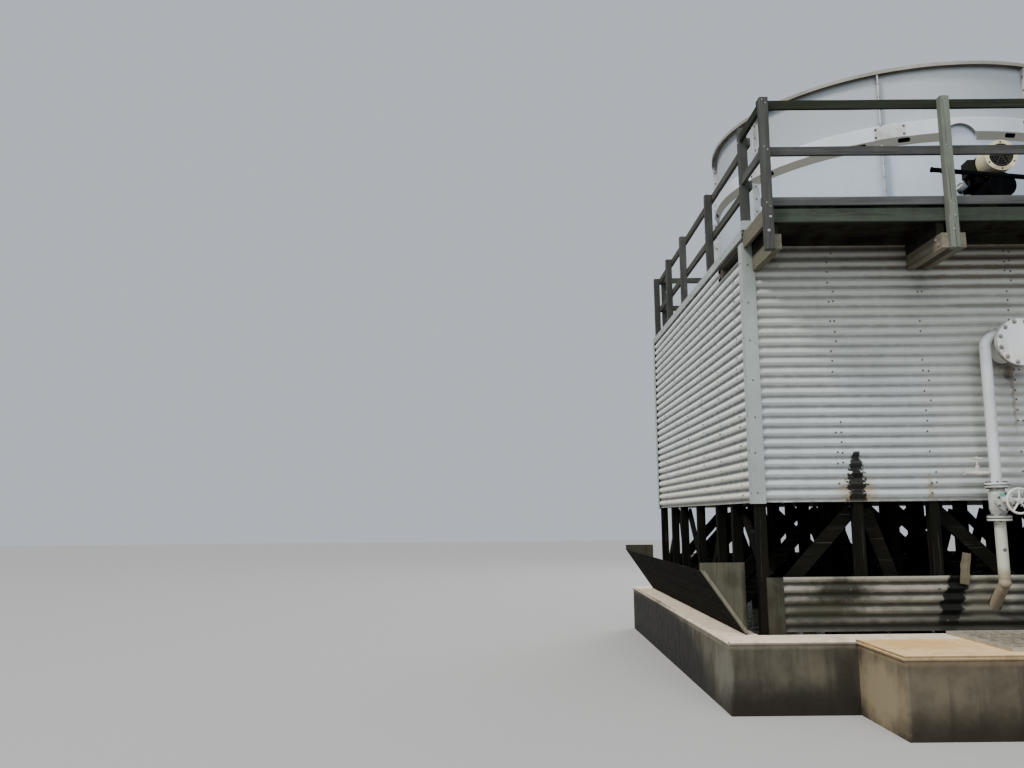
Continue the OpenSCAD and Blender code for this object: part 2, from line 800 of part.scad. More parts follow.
// Bolted flanges beside each seam of the stack wall, and the plates that lap the hoop's seams
module stack_flanges() {
    t = 8;
    top = hoop_low + hoop_h;
    plate_r = stack_r + hoop_reach + seat;
    color("#d9dbd8") for (i = [0:panels - 1]) {
        seam = drive_az + (i + 0.5) * panel_turn;
        at_angle(seam) for (s = [-1, 1]) translate([stack_r + seat, s * (t / 2 + 0.2), 0]) {
            box([0, -t / 2, deck_top + foot_t], [flange_reach, t / 2, hoop_low - seat]);
            box([0, -t / 2, top + seat], [rim_reach - 12, t / 2, stack_top - rim_h]);
        }
        ring(seam - 1.8, 8) translate([plate_r, hoop_low + hoop_slope + 3]) square([4, hoop_h - hoop_slope - 19]);
    }
}

// Two plates on a round barrel, which clamp the blades' shanks, under a low cap
module fan_hub() {
    barrel_r = hub_r / 3;
    color("#8c9196") translate([stack_x, 0, fan_z]) {
        translate([0, 0, -hub_half]) cylinder(r = hub_r, h = hub_t);
        translate([0, 0, hub_half - hub_t]) cylinder(r = hub_r, h = hub_t);
        translate([0, 0, -hub_half]) cylinder(r = barrel_r, h = 2 * hub_half + 12);
        translate([0, 0, hub_half + 10]) cylinder(r = barrel_r * 0.7, h = 30);
    }
}

// Blade section: a lens with a blunt nose, chord along X
function lens(c) = c * [[-0.5, 0], [-0.42, 0.045], [-0.2, 0.075], [0.1, 0.07], [0.35, 0.03], [0.5, 0],
    [0.3, -0.012], [0, -0.02], [-0.3, -0.03], [-0.45, -0.025]];

// Twisted, tapered blades, each on a round shank between the hub's plates
module fan_blades() {
    tip = stack_in - tip_gap;
    first = 11;
    color("#c9ccc8") translate([stack_x, 0, fan_z])
        for (i = [0:blades - 1]) rotate([0, 0, i * 360 / blades + first]) {
            rod_y(shank_r, 0, 0, -blade_root + seat, -hub_r / 3 - seat);
            translate([0, -blade_root, 0]) rotate([90, 0, 0]) rotate([0, 0, root_pitch])
                linear_extrude(tip - blade_root, twist = blade_twist, scale = tip_chord / root_chord, slices = 10,
                    $fn = 10) polygon(lens(root_chord));
        }
}

// Right-angle gearbox on the torque tube: a ribbed round case, its cover and the two shaft ends
module gearbox() {
    base_r = gear_r + 65;
    base_t = 24;
    case_top = shaft_z + 150;
    rib_t = 14;
    ribs = 8;
    color("#5d6468") on_drive() {
        translate([0, 0, tube_top]) cylinder(r = base_r, h = base_t);
        translate([0, 0, tube_top]) cylinder(r = gear_r, h = case_top - tube_top);
        for (i = [0:ribs - 1]) rotate([0, 0, (i + 0.5) * 360 / ribs])
            box([gear_r - 10, -rib_t / 2, tube_top], [gear_r + 48, rib_t / 2, shaft_z - 60]);
        translate([0, 0, case_top]) cylinder(r = gear_r + 20, h = 18);
        translate([0, 0, case_top + 18]) cylinder(r1 = gear_r - 10, r2 = gear_r / 2 + 8, h = 110);
        translate([0, 0, case_top]) cylinder(r = 60, h = fan_z - hub_half - seat - case_top);
        rod_y(110, 0, shaft_z, -quill_l + 20, 0);
        rod_y(135, 0, shaft_z, -gear_r - 45, -gear_r - 25);
        rod_y(70, 0, shaft_z, -quill_l, 0);
    }
}

// Floating shaft between the gearbox and the motor, with a coupling at each end
module drive_shaft() {
    inner = -quill_l;
    outer = -motor_end + motor_l + 60;
    color("#9a9da0") on_drive() {
        rod_y(shaft_r, 0, shaft_z, outer + 20, inner - 20);
        rod_y(coupling_r, 0, shaft_z, inner - coupling_t, inner);
        rod_y(coupling_r, 0, shaft_z, outer, outer + coupling_t);
    }
}

// Motor with cooling fins along its body, feet, a terminal box on the left and its shaft end
module motor() {
    y0 = -motor_end;
    body_r = motor_r - 30;
    fin_r = motor_r - cowl_t;
    fin_t = 5;
    fins = 28;
    fin_y0 = y0 + cowl_l + 14;
    fin_y1 = y0 + motor_l - 80;
    plate = tube_top + 12;
    color("#4f5250") on_drive() {
        rod_y(fin_r - seat, 0, shaft_z, y0 + cowl_l - 30, fin_y0);
        rod_y(body_r, 0, shaft_z, fin_y0 - 1, fin_y1 + 1);
        for (i = [0:fins - 1]) translate([0, 0, shaft_z]) rotate([0, (i + 0.5) * 360 / fins, 0])
            box([body_r - 4, fin_y0 - 1, -fin_t / 2], [fin_r, fin_y1 + 1, fin_t / 2]);
        rod_y(fin_r, 0, shaft_z, fin_y1, fin_y1 + 40);
        rod_y(body_r - 26, 0, shaft_z, fin_y1 + 39, y0 + motor_l);
        rod_y(28, 0, shaft_z, y0 + motor_l - 1, y0 + motor_l + 60);
        for (s = [-1, 1], y = [fin_y0 + 30, fin_y1 - 90])
            box([s * 100 - 38, y, plate], [s * 100 + 38, y + 60, shaft_z - 70]);
        box([-motor_r - 74, fin_y0 + 10, shaft_z - 110], [-body_r + 20, fin_y0 + 180, shaft_z + 60]);
    }
}

// Fan cover of the motor, with a grille of concentric rings on spokes
module motor_cowl() {
    y0 = -motor_end;
    bar = 5;
    grille_r = motor_r - 42;
    color("#d8cfae") on_drive() {
        difference() {
            rod_y(motor_r, 0, shaft_z, y0, y0 + cowl_l);
            rod_y(motor_r - cowl_t, 0, shaft_z, y0 + cowl_t, y0 + cowl_l + 1);
            rod_y(grille_r, 0, shaft_z, y0 - 1, y0 + cowl_t + 1);
        }
        for (r = [30:25:grille_r - 15]) difference() {
            rod_y(r + bar / 2, 0, shaft_z, y0, y0 + bar);
            rod_y(r - bar / 2, 0, shaft_z, y0 - 1, y0 + bar + 1);
        }
        for (a = [0:60:359]) translate([0, 0, shaft_z]) rotate([0, a, 0])
            box([0, y0 + 1, -bar / 2], [grille_r + 2, y0 + bar + 1, bar / 2]);
    }
}

module torque_tube() {
    front = -motor_end + 20;
    wall = 10;
    end = 300;
    pad_half = 170;
    color("#2b2e2f") on_drive() {
        difference() {
            rod_y(tube_r, 0, tube_z, front, end);
            rod_y(tube_r - wall, 0, tube_z, front + 12, end - 12);
        }
        box([-pad_half, -motor_end + cowl_l, tube_top - 30], [pad_half, -motor_end + motor_l - 40, tube_top + 12]);
        saddle(-motor_end + 330, deck_top);
        saddle(-120, deck_under);
    }
}

// Cradle under the torque tube at y, standing on the given height
module saddle(y, low) {
    plate = 12;
    foot = drive_beams / 2 + 40;
    difference() {
        union() {
            box([-150, y - 10, low + plate], [150, y + 10, tube_z]);
            box([-foot, y - 70, low], [foot, y + 70, low + plate]);
            for (s = [-1, 1]) box([s * 120 - 8, y - 60, low + plate], [s * 120 + 8, y + 60, tube_z - tube_r + 60]);
        }
        rod_y(tube_r - 2, 0, tube_z, y - 80, y + 80);
    }
}

// Black bar across the walkway, sloping to the right, with a capped end and a bracket at each middle post
module conduit_bar() {
    reach = (inner_post + 120) / cos(bar_slope);
    collar = 20;
    color("#1f2123") translate([0, -walk_y + post + bar_off, deck_top + bar_rise]) {
        rotate([0, bar_slope, 0]) rod_x(bar_r, 0, 0, -reach, reach);
        rotate([0, bar_slope, 0]) rod_x(bar_r + 4, 0, 0, -reach - 2, -reach + 12);
        for (s = [-1, 1]) rotate([0, bar_slope, 0]) translate([s * inner_post, 0, 0]) {
            rod_x(bar_r + 6, 0, 0, -collar, collar);
            box([-collar, -bar_off, -collar], [collar, 0, collar]);
        }
    }
}

module water_header() {
    inner = half_d - skin - timber - 400;
    y0 = header_y;
    color("#cabfa8") {
        rod_y(header_r, header_x, header_z, y0 + header_flange_t - 1, inner);
        rod_y(header_flange_r, header_x, header_z, y0, y0 + header_flange_t);
        rod_y(header_r + 40, header_x, header_z, y0 - 5, y0 + 1);
        for (y = [-900, 900])
            box([header_x - 60, y - 30, fill_top], [header_x + 60, y + 30, header_z - header_r + 20]);
    }
    color("#dcdedb") rod_y(header_flange_r, header_x, header_z, y0 - header_flange_t - 4, y0 - 4);
}

module bypass_pipe() {
    x = bypass_x;
    y = bypass_y;
    v_top = valve_z + valve_l / 2;
    v_low = valve_z - valve_l / 2;
    color("#d6d8d6") {
        translate([x, y, v_top]) cylinder(r = bypass_r, h = branch_z - bend - v_top);
        translate([x + bend, y, branch_z - bend]) rotate([90, 0, 180]) rotate_extrude(angle = 90)
            translate([bend, 0]) circle(r = bypass_r);
        difference() {
            union() {
                rod_x(bypass_r, y, branch_z, x + bend, header_x);
                rod_x(branch_flange_r, y, branch_z, x + bend + 6, x + bend + 28);
            }
            rod_y(header_r + seat, header_x, header_z, y - 200, y + 200);
        }
        translate([x, y, v_top]) cylinder(r = flange_r, h = pipe_flange_t);
        translate([x, y, v_low - pipe_flange_t]) cylinder(r = flange_r, h = pipe_flange_t);
        translate([x, y, drop_z]) cylinder(r = bypass_r, h = v_low - drop_z);
        translate([x, y, drop_z]) sphere(r = bypass_r + 4);
        bypass_tail(bypass_r);
    }
}

// Wedge gate valve: end flanges, a bellied body, the bonnet, its flange, the yoke and the stem towards the front
module gate_valve() {
    x = bypass_x;
    y = bypass_y;
    half = valve_l / 2;
    belly = 86;
    end_r = bypass_r + 8;
    color("#c9c6bb") {
        for (s = [-1, 1]) translate([x, y, valve_z + s * (half - pipe_flange_t / 2) - pipe_flange_t / 2])
            cylinder(r = flange_r, h = pipe_flange_t);
        translate([x, y, valve_z - half + 20]) cylinder(r1 = end_r, r2 = belly, h = 70);
        translate([x, y, valve_z - half + 90]) cylinder(r = belly, h = valve_l - 180);
        translate([x, y, valve_z + half - 90]) cylinder(r1 = belly, r2 = end_r, h = 70);
        rod_y(70, x, valve_z, y - 130, y);
        rod_y(92, x, valve_z, y - 152, y - 116);
        rod_y(34, x, valve_z, y - 300, y - 150);
        rod_y(stem_r, x, valve_z, y - wheel_off - wheel_hub - 12, y - 290);
        rod_y(stem_r + 8, x, valve_z, y - wheel_off - wheel_hub - 14, y - wheel_off - wheel_hub - seat);
        rod_y(stem_r + 8, x, valve_z, y - wheel_off + wheel_hub + seat, y - wheel_off + wheel_hub + 14);
    }
}

module valve_wheel() {
    rim = 11;
    color("#e3e3df") translate([bypass_x, bypass_y - wheel_off, valve_z]) rotate([90, 0, 0]) {
        rotate_extrude() translate([wheel_r - rim, 0]) circle(r = rim, $fn = 32);
        difference() {
            union() {
                translate([0, 0, -wheel_hub]) cylinder(r = 30, h = 2 * wheel_hub);
                for (a = [0:72:359]) rotate([0, 0, a + 18]) translate([20, 0, 0]) rotate([0, 90, 0])
                    cylinder(r = 9, h = wheel_r - rim - 21, $fn = 24);
            }
            translate([0, 0, -wheel_hub - 4]) cylinder(r = stem_r + run_gap, h = 2 * wheel_hub + 8);
        }
    }
}

module tap_valve() {
    x0 = bypass_x - bypass_r;
    y = bypass_y;
    collar = tap_stem_r + 5;
    color("#c4c2ba") {
        difference() {
            rod_x(17, y, tap_z, x0 - 250, x0 + 20);
            translate([bypass_x, y, tap_z - 60]) cylinder(r = bypass_r + seat, h = 120);
        }
        rod_x(26, y, tap_z, tap_x - 33, tap_x + 33);
        translate([tap_x, y, tap_z]) cylinder(r = 20, h = 75);
        translate([tap_x, y, tap_z + 70]) cylinder(r = tap_stem_r, h = tap_bar_z + tap_hub + 8 - tap_z - 70);
        translate([tap_x, y, tap_bar_z - tap_hub - seat - 8]) cylinder(r = collar, h = 8);
        translate([tap_x, y, tap_bar_z + tap_hub + seat]) cylinder(r = collar, h = 8);
        rod_x(22, y, tap_z, x0 - 262, x0 - 225);
    }
}

module tap_handle() {
    color("#b9b7ae") translate([tap_x, bypass_y, tap_bar_z]) difference() {
        union() {
            rod_x(9, 0, 0, -56, 56);
            translate([0, 0, -tap_hub]) cylinder(r = 14, h = 2 * tap_hub);
        }
        translate([0, 0, -tap_hub - 4]) cylinder(r = tap_stem_r + run_gap, h = 2 * tap_hub + 8);
    }
}

basin_floor();
basin_wall_front();
basin_wall_back();
basin_wall_left();
basin_wall_right();
sump_box();
sump_grating();
columns();
inlet_braces();
fill_beams();
fill_pack();
drift_eliminators();
casing_front();
casing_back();
casing_left();
casing_right();
edge_trims();
skirts();
splash_boards();
deck_beams();
fan_deck();
walkway_outriggers();
walkway_deck();
handrail_front();
handrail_back();
handrail_left();
handrail_right();
stack_wall();
stack_hoop();
stack_rim();
stack_flanges();
fan_hub();
fan_blades();
gearbox();
drive_shaft();
motor();
motor_cowl();
torque_tube();
conduit_bar();
water_header();
bypass_pipe();
gate_valve();
valve_wheel();
tap_valve();
tap_handle();
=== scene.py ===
"""Looks of the cooling tower cell: sheets, boards, fasteners, stains, water and the fittings of its pipes.

Metres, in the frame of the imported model: +Z up, ground at Z = 0, the front along -Y.
"""

import json
import logging
import math
import random
from dataclasses import dataclass, field
from enum import Enum
from typing import Callable, ClassVar, Iterable, Iterator, Sequence

import bmesh
import bpy
from mathutils import Matrix, Vector

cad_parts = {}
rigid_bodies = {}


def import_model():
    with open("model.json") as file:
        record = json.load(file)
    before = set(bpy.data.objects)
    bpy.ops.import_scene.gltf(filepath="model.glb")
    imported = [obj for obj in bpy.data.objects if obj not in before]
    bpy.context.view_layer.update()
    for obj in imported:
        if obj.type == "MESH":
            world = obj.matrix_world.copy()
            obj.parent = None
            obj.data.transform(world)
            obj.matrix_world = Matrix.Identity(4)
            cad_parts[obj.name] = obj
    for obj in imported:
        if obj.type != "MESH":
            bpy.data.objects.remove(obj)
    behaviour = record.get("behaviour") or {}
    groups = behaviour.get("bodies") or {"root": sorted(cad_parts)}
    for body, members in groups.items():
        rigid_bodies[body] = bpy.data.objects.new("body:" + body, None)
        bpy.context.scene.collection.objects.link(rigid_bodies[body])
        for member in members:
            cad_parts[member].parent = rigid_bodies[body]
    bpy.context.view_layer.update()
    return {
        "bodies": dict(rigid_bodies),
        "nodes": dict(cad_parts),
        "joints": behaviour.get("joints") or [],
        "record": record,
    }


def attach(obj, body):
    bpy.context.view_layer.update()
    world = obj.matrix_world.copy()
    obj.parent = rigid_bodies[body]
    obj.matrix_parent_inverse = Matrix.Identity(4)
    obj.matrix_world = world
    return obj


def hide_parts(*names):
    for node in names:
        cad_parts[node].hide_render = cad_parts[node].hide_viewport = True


Colour = tuple[float, float, float]
Point = tuple[float, float, float]
Span = tuple[float, float]
Socket = bpy.types.NodeSocket
Sockets = Sequence[Socket]
Given = dict[str, Socket]
Object = bpy.types.Object
Vert = bmesh.types.BMVert

LOG = logging.getLogger("cell")
RIGHT, FRONT, UP = Vector((1, 0, 0)), Vector((0, -1, 0)), Vector((0, 0, 1))
SEAM = 0.003


class Side(Enum):
    """A side of the square cell, by the turn that brings its outer face to -Y."""

    FRONT = 0
    RIGHT = 90
    BACK = 180
    LEFT = -90

    def turned(self) -> Matrix:
        """The rotation from the front to this side."""
        return Matrix.Rotation(math.radians(self.value), 4, "Z")

    def outward(self) -> Vector:
        """The direction in which this side looks."""
        return self.turned().to_3x3() @ FRONT


class Axis(Enum):
    """The long axis of a board or post."""

    X = 0
    Y = 1
    Z = 2


@dataclass(frozen=True)
class Layout:
    """Driving dimensions of the cell, in metres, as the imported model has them."""

    half: float = 3.048
    casing_low: float = 2.020
    casing_top: float = 4.920
    pitch: float = 0.10668
    depth: float = 0.027
    sheet: float = 0.005
    ridge: float = 2.1017
    basin_top: float = 0.700
    basin_reach: float = 0.410
    basin_wall: float = 0.390
    sump_reach: float = 1.060
    pit_half: float = 1.150
    pit_wall: float = 0.250
    deck_top: float = 4.862
    plank: float = 0.038
    plank_width: float = 0.139
    plank_gap: float = 0.006
    walk_y: float = 3.900
    post: float = 0.089
    rail_w: float = 0.092
    rail_t: float = 0.038
    mid_drop: float = 0.490
    rail_top: float = 6.032
    side_rail_top: float = 5.982
    sill_top: float = 4.928
    inner_post: float = 1.176
    side_bay: float = 1.760
    stack_x: float = -0.070
    stack_r: float = 2.400
    stack_top: float = 7.150
    hoop_reach: float = 0.054
    hoop_low: float = 6.200
    hoop_h: float = 0.262
    hoop_slope: float = 0.085
    panels: int = 9
    drive_turn: float = 5.0
    header_x: float = -0.350
    header_z: float = 3.612
    header_r: float = 0.162
    bypass_x: float = -0.640
    bypass_y: float = -3.250
    elbow_z: float = 1.205
    valve_z: float = 2.006
    skirt_top: float = 1.270
    tear_low: float = 4.640
    tear_high: float = 4.815
    tear_near: float = 2.950
    tear_far: float = 1.930

    @property
    def skin(self) -> float:
        """Depth of the casing from its ridges to its back."""
        return self.depth + self.sheet

    @property
    def sill(self) -> float:
        """Distance of the sills' outer face from the middle."""
        return self.half - self.skin - 0.002

    @property
    def trim(self) -> float:
        """Distance of the trims' outer face from the middle."""
        return self.half + 0.006

    @property
    def corner_post(self) -> float:
        """Distance of the walkway's corner posts from the middle."""
        return self.half - self.post / 2 - 0.018

    @property
    def walk_half(self) -> float:
        """Half the walkway's length."""
        return self.corner_post + self.post / 2

    @property
    def planks_low(self) -> float:
        """Height of the deck planks' underside."""
        return self.deck_top - self.plank

    @property
    def basin_half(self) -> float:
        """Distance of the basin's outer face from the middle."""
        return self.half + self.basin_reach

    @property
    def hole_r(self) -> float:
        """Radius of the fan's hole in the deck."""
        return self.stack_r - 0.090


SIZES = Layout()


class Graph:
    """Nodes and links of one material or node group."""

    def __init__(self, tree: bpy.types.NodeTree) -> None:
        """Keeps the tree to build in."""
        self.tree = tree

    def give(self, target: Socket, value: object) -> None:
        """Links a socket into an input, or sets a constant on it.

        Args:
            target: The input.
            value: The socket or the constant.
        """
        if isinstance(value, bpy.types.NodeSocket):
            self.tree.links.new(value, target)
        else:
            target.default_value = value

    def add(self, kind: str, inputs: dict | None = None, **settings: object) -> bpy.types.Node:
        """Adds a node.

        Args:
            kind: The node's type.
            inputs: Constants or sockets for its inputs, by name or index.
            **settings: Properties of the node.

        Returns:
            The new node.
        """
        node = self.tree.nodes.new(kind)
        for key, value in settings.items():
            setattr(node, key, value)
        for key, value in (inputs or {}).items():
            self.give(node.inputs[key], value)
        return node

    def math(self, operation: str, a: object, b: object = 0.0) -> Socket:
        """Adds a math node and returns its result."""
        return self.add("ShaderNodeMath", {0: a, 1: b}, operation=operation).outputs[0]

    def vector(self, operation: str, a: object, b: object) -> Socket:
        """Adds a vector math node and returns its vector."""
        return self.add("ShaderNodeVectorMath", {0: a, 1: b}, operation=operation).outputs[0]

    def mix(self, share: object, a: object, b: object) -> Socket:
        """Mixes two colours.

        Args:
            share: Share of the second colour.
            a: First colour.
            b: Second colour.

        Returns:
            The mixed colour.
        """
        return self.add("ShaderNodeMix", {0: share, 6: _rgba(a), 7: _rgba(b)}, data_type="RGBA").outputs[2]

    def lay(self, over: Colour, colour: object, mask: Socket, share: float) -> Socket:
        """Lays a colour over another one, by a mask and a greatest share."""
        return self.mix(self.math("MULTIPLY", mask, share), colour, over)

    def ramp(self, value: object, low: object, high: object, to_low: float = 0.0, to_high: float = 1.0) -> Socket:
        """Maps a value smoothly from low..high to another range, clamped."""
        inputs = {0: value, 1: low, 2: high, 3: to_low, 4: to_high}
        return self.add("ShaderNodeMapRange", inputs, interpolation_type="SMOOTHSTEP").outputs[0]

    def place(self) -> Socket:
        """The point on the surface, in the frame of the cell at rest."""
        return self.add("ShaderNodeTexCoord").outputs["Object"]

    def parts(self, vector: Socket) -> Sockets:
        """The three parts of a vector."""
        return self.add("ShaderNodeSeparateXYZ", {0: vector}).outputs

    def join(self, *parts: object) -> Socket:
        """The vector with those three parts."""
        return self.add("ShaderNodeCombineXYZ", dict(enumerate(parts))).outputs[0]

    def noise(self, vector: Socket, scale: object, detail: float = 4.0, rough: float = 0.55) -> Socket:
        """Adds a noise texture and returns its value."""
        inputs = {"Vector": vector, "Scale": scale, "Detail": detail, "Roughness": rough}
        return self.add("ShaderNodeTexNoise", inputs).outputs[0]

    def waver(self, vector: Socket, scale: object, detail: float, rough: float, reach: object) -> Socket:
        """Noise about zero, times its reach."""
        return self.math("MULTIPLY", self.math("SUBTRACT", self.noise(vector, scale, detail, rough), 0.5), reach)

    def bump(self, height: Socket, strength: float, distance: float) -> Socket:
        """Adds a bump node and returns its normal."""
        inputs = {"Strength": strength, "Distance": distance, "Height": height}
        return self.add("ShaderNodeBump", inputs).outputs[0]

    def use(self, effect: "Effect", **inputs: object) -> Sockets:
        """Places an effect's group with its own values and returns its outputs."""
        return self.add("ShaderNodeGroup", inputs, node_tree=effect.tree()).outputs

    def mask(self, effect: "Effect", **inputs: object) -> Socket:
        """Places an effect's group with its own values and returns its first mask."""
        return self.use(effect, **inputs)[0]


def _rgba(colour: object) -> object:
    """A colour with its alpha, or the socket as it is."""
    return colour if isinstance(colour, bpy.types.NodeSocket) else (*colour, 1.0)


def shaded(colour: Colour, share: float) -> Colour:
    """A colour times a share."""
    return tuple(part * share for part in colour)


@dataclass(frozen=True)
class Effect:
    """A shader node group that several finishes share, built once."""

    name: str
    inputs: dict[str, object]
    outputs: tuple[str, ...]
    fill: Callable[[Graph, Given], Sockets]
    built: ClassVar[dict[str, bpy.types.NodeTree]] = {}

    def tree(self) -> bpy.types.NodeTree:
        """Makes the group at the first call.

        Returns:
            The group.
        """
        if self.name not in self.built:
            tree = bpy.data.node_groups.new(self.name, "ShaderNodeTree")
            self.built[self.name] = tree
            for key, value in self.inputs.items():
                kind = "NodeSocketFloat" if isinstance(value, float) else "NodeSocketVector"
                tree.interface.new_socket(key, in_out="INPUT", socket_type=kind).default_value = value
            for key in self.outputs:
                tree.interface.new_socket(key, in_out="OUTPUT", socket_type="NodeSocketFloat")
            graph = Graph(tree)
            given = graph.add("NodeGroupInput").outputs
            found = self.fill(graph, {key: given[key] for key in self.inputs})
            graph.add("NodeGroupOutput", dict(zip(self.outputs, found)))
        return self.built[self.name]


def fill_blotches(graph: Graph, given: Given) -> Sockets:
    """A mask from cloudy noise."""
    return [graph.ramp(graph.noise(graph.place(), given["Scale"], 6.0, 0.6), given["Low"], given["High"])]


def fill_runs(graph: Graph, given: Given) -> Sockets:
    """A mask from noise drawn out downwards."""
    drawn = graph.vector("MULTIPLY", graph.place(), graph.join(given["Across"], given["Across"], given["Along"]))
    return [graph.ramp(graph.noise(drawn, 1.0, 5.0, 0.6), given["Low"], given["High"])]


def fill_grain(graph: Graph, given: Given) -> Sockets:
    """Wood grain along the first axis of a vector: fine lines, broad bands and cracks.

    Args:
        graph: The group's graph.
        given: The group's inputs.

    Returns:
        The masks of the lines, the bands and the cracks.
    """
    found = []
    for along, across, detail, rough, low, high in (
            (3.0, 150.0, 4.0, 0.7, 0.32, 0.68), (0.9, 16.0, 3.0, 0.5, 0.35, 0.65), (1.6, 60.0, 2.0, 0.4, 0.36, 0.30)):
        drawn = graph.vector("MULTIPLY", given["Vector"], (along, across, across))
        found.append(graph.ramp(graph.noise(drawn, 1.0, detail, rough), low, high))
    return found


def fill_patch(graph: Graph, given: Given) -> Sockets:
    """A mask about a point that falls off past its size, with a ragged edge.

    Args:
        graph: The group's graph.
        given: The group's inputs.

    Returns:
        The mask.
    """
    place = graph.place()
    unit = graph.vector("DIVIDE", graph.vector("SUBTRACT", place, given["Centre"]), given["Size"])
    length = graph.add("ShaderNodeVectorMath", {0: unit}, operation="LENGTH").outputs["Value"]
    ragged = graph.waver(place, given["Grain"], 5.0, 0.65, graph.math("MULTIPLY", given["Ragged"], 4.0))
    inner, outer = (graph.math(way, 1.0, given["Soft"]) for way in ("SUBTRACT", "ADD"))
    return [graph.ramp(graph.math("ADD", length, ragged), outer, inner)]


def fill_height(graph: Graph, given: Given) -> Sockets:
    """A mask that rises from one height to another, with a wavering edge."""
    waver = graph.waver(graph.place(), 3.5, 4.0, 0.6, graph.math("MULTIPLY", given["Waver"], 2.0))
    return [graph.ramp(graph.math("ADD", graph.parts(graph.place())[2], waver), given["From"], given["To"])]


def fill_facing(graph: Graph, given: Given) -> Sockets:
    """Masks by which way the surface looks: up and down."""
    z = graph.parts(graph.add("ShaderNodeNewGeometry").outputs["Normal"])[2]
    return [graph.ramp(way, given["Start"], given["Full"]) for way in (z, graph.math("MULTIPLY", z, -1.0))]


def fill_troughs(graph: Graph, given: Given) -> Sockets:
    """Corrugation by height: 0 on a ridge, 1 in a trough; and 1 on the faces that look up.

    Args:
        graph: The group's graph.
        given: The group's inputs.

    Returns:
        The masks of the troughs and of the upper faces.
    """
    off = graph.math("SUBTRACT", graph.parts(graph.place())[2], given["Ridge"])
    angle = graph.math("MULTIPLY", graph.math("DIVIDE", off, given["Pitch"]), 2 * math.pi)
    trough = graph.math("SUBTRACT", 0.5, graph.math("MULTIPLY", graph.math("COSINE", angle), 0.5))
    return [trough, graph.ramp(graph.math("SINE", angle), 0.1, 1.0)]


BLOTCHES = Effect("blotches", {"Scale": 2.0, "Low": 0.4, "High": 0.6}, ("Mask",), fill_blotches)
RUNS = Effect("runs", {"Across": 14.0, "Along": 0.7, "Low": 0.5, "High": 0.7}, ("Mask",), fill_runs)
GRAIN = Effect("wood_grain", {"Vector": (0.0, 0.0, 0.0)}, ("Lines", "Bands", "Cracks"), fill_grain)
PATCH = Effect("ragged_patch", {"Centre": (0.0, 0.0, 0.0), "Size": (0.1, 0.1, 0.1), "Soft": 0.3, "Ragged": 0.25,
                                "Grain": 9.0}, ("Mask",), fill_patch)
HEIGHT = Effect("height_mask", {"From": 0.0, "To": 1.0, "Waver": 0.05}, ("Mask",), fill_height)
FACING = Effect("facing", {"Start": 0.35, "Full": 0.8}, ("Up", "Down"), fill_facing)
TROUGHS = Effect("troughs", {"Pitch": 0.1, "Ridge": 0.0}, ("Trough", "Upper"), fill_troughs)


@dataclass(frozen=True)
class Stain:
    """A patch of another colour on a surface."""

    centre: Point
    size: Point
    colour: Colour
    strength: float = 1.0
    soft: float = 0.35
    ragged: float = 0.25
    grain: float = 9.0

    def over(self, graph: Graph, colour: Socket) -> Socket:
        """Lays the stain over a colour.

        Args:
            graph: The material's graph.
            colour: The colour under the stain.

        Returns:
            The stained colour.
        """
        patch = graph.mask(PATCH, Centre=self.centre, Size=self.size, Soft=self.soft, Ragged=self.ragged,
                           Grain=self.grain)
        return graph.lay(self.colour, colour, patch, self.strength)


@dataclass(frozen=True)
class Finish:
    """What every finish of the cell has: a name, a gloss, stains on top, and a material made once."""

    name: str
    gloss: float = field(default=0.5, kw_only=True)
    stains: tuple[Stain, ...] = field(default=(), kw_only=True)
    inputs: ClassVar[tuple[str, ...]] = ("Base Color", "Roughness", "Normal", "Metallic")

    def material(self) -> bpy.types.Material:
        """Makes the finish's material at the first call.

        Returns:
            The material.
        """
        found = bpy.data.materials.get(self.name)
        if found:
            return found
        made = bpy.data.materials.new(self.name)
        made.use_nodes = True
        made.node_tree.nodes.clear()
        graph = Graph(made.node_tree)
        shader = graph.add("ShaderNodeBsdfPrincipled", {"Specular IOR Level": self.gloss})
        graph.add("ShaderNodeOutputMaterial", {0: shader.outputs[0]})
        for key, value in zip(self.inputs, self.dress(graph)):
            graph.give(shader.inputs[key], value)
        return made

    def dress(self, graph: Graph) -> Sequence[object]:
        """Colour, roughness, normal and what else feeds the shader; each kind of finish has its own."""
        raise NotImplementedError

    def stained(self, graph: Graph, colour: Socket) -> Socket:
        """Lays every stain over a colour, in their order.

        Args:
            graph: The material's graph.
            colour: The colour under them.

        Returns:
            The stained colour.
        """
        for stain in self.stains:
            colour = stain.over(graph, colour)
        return colour


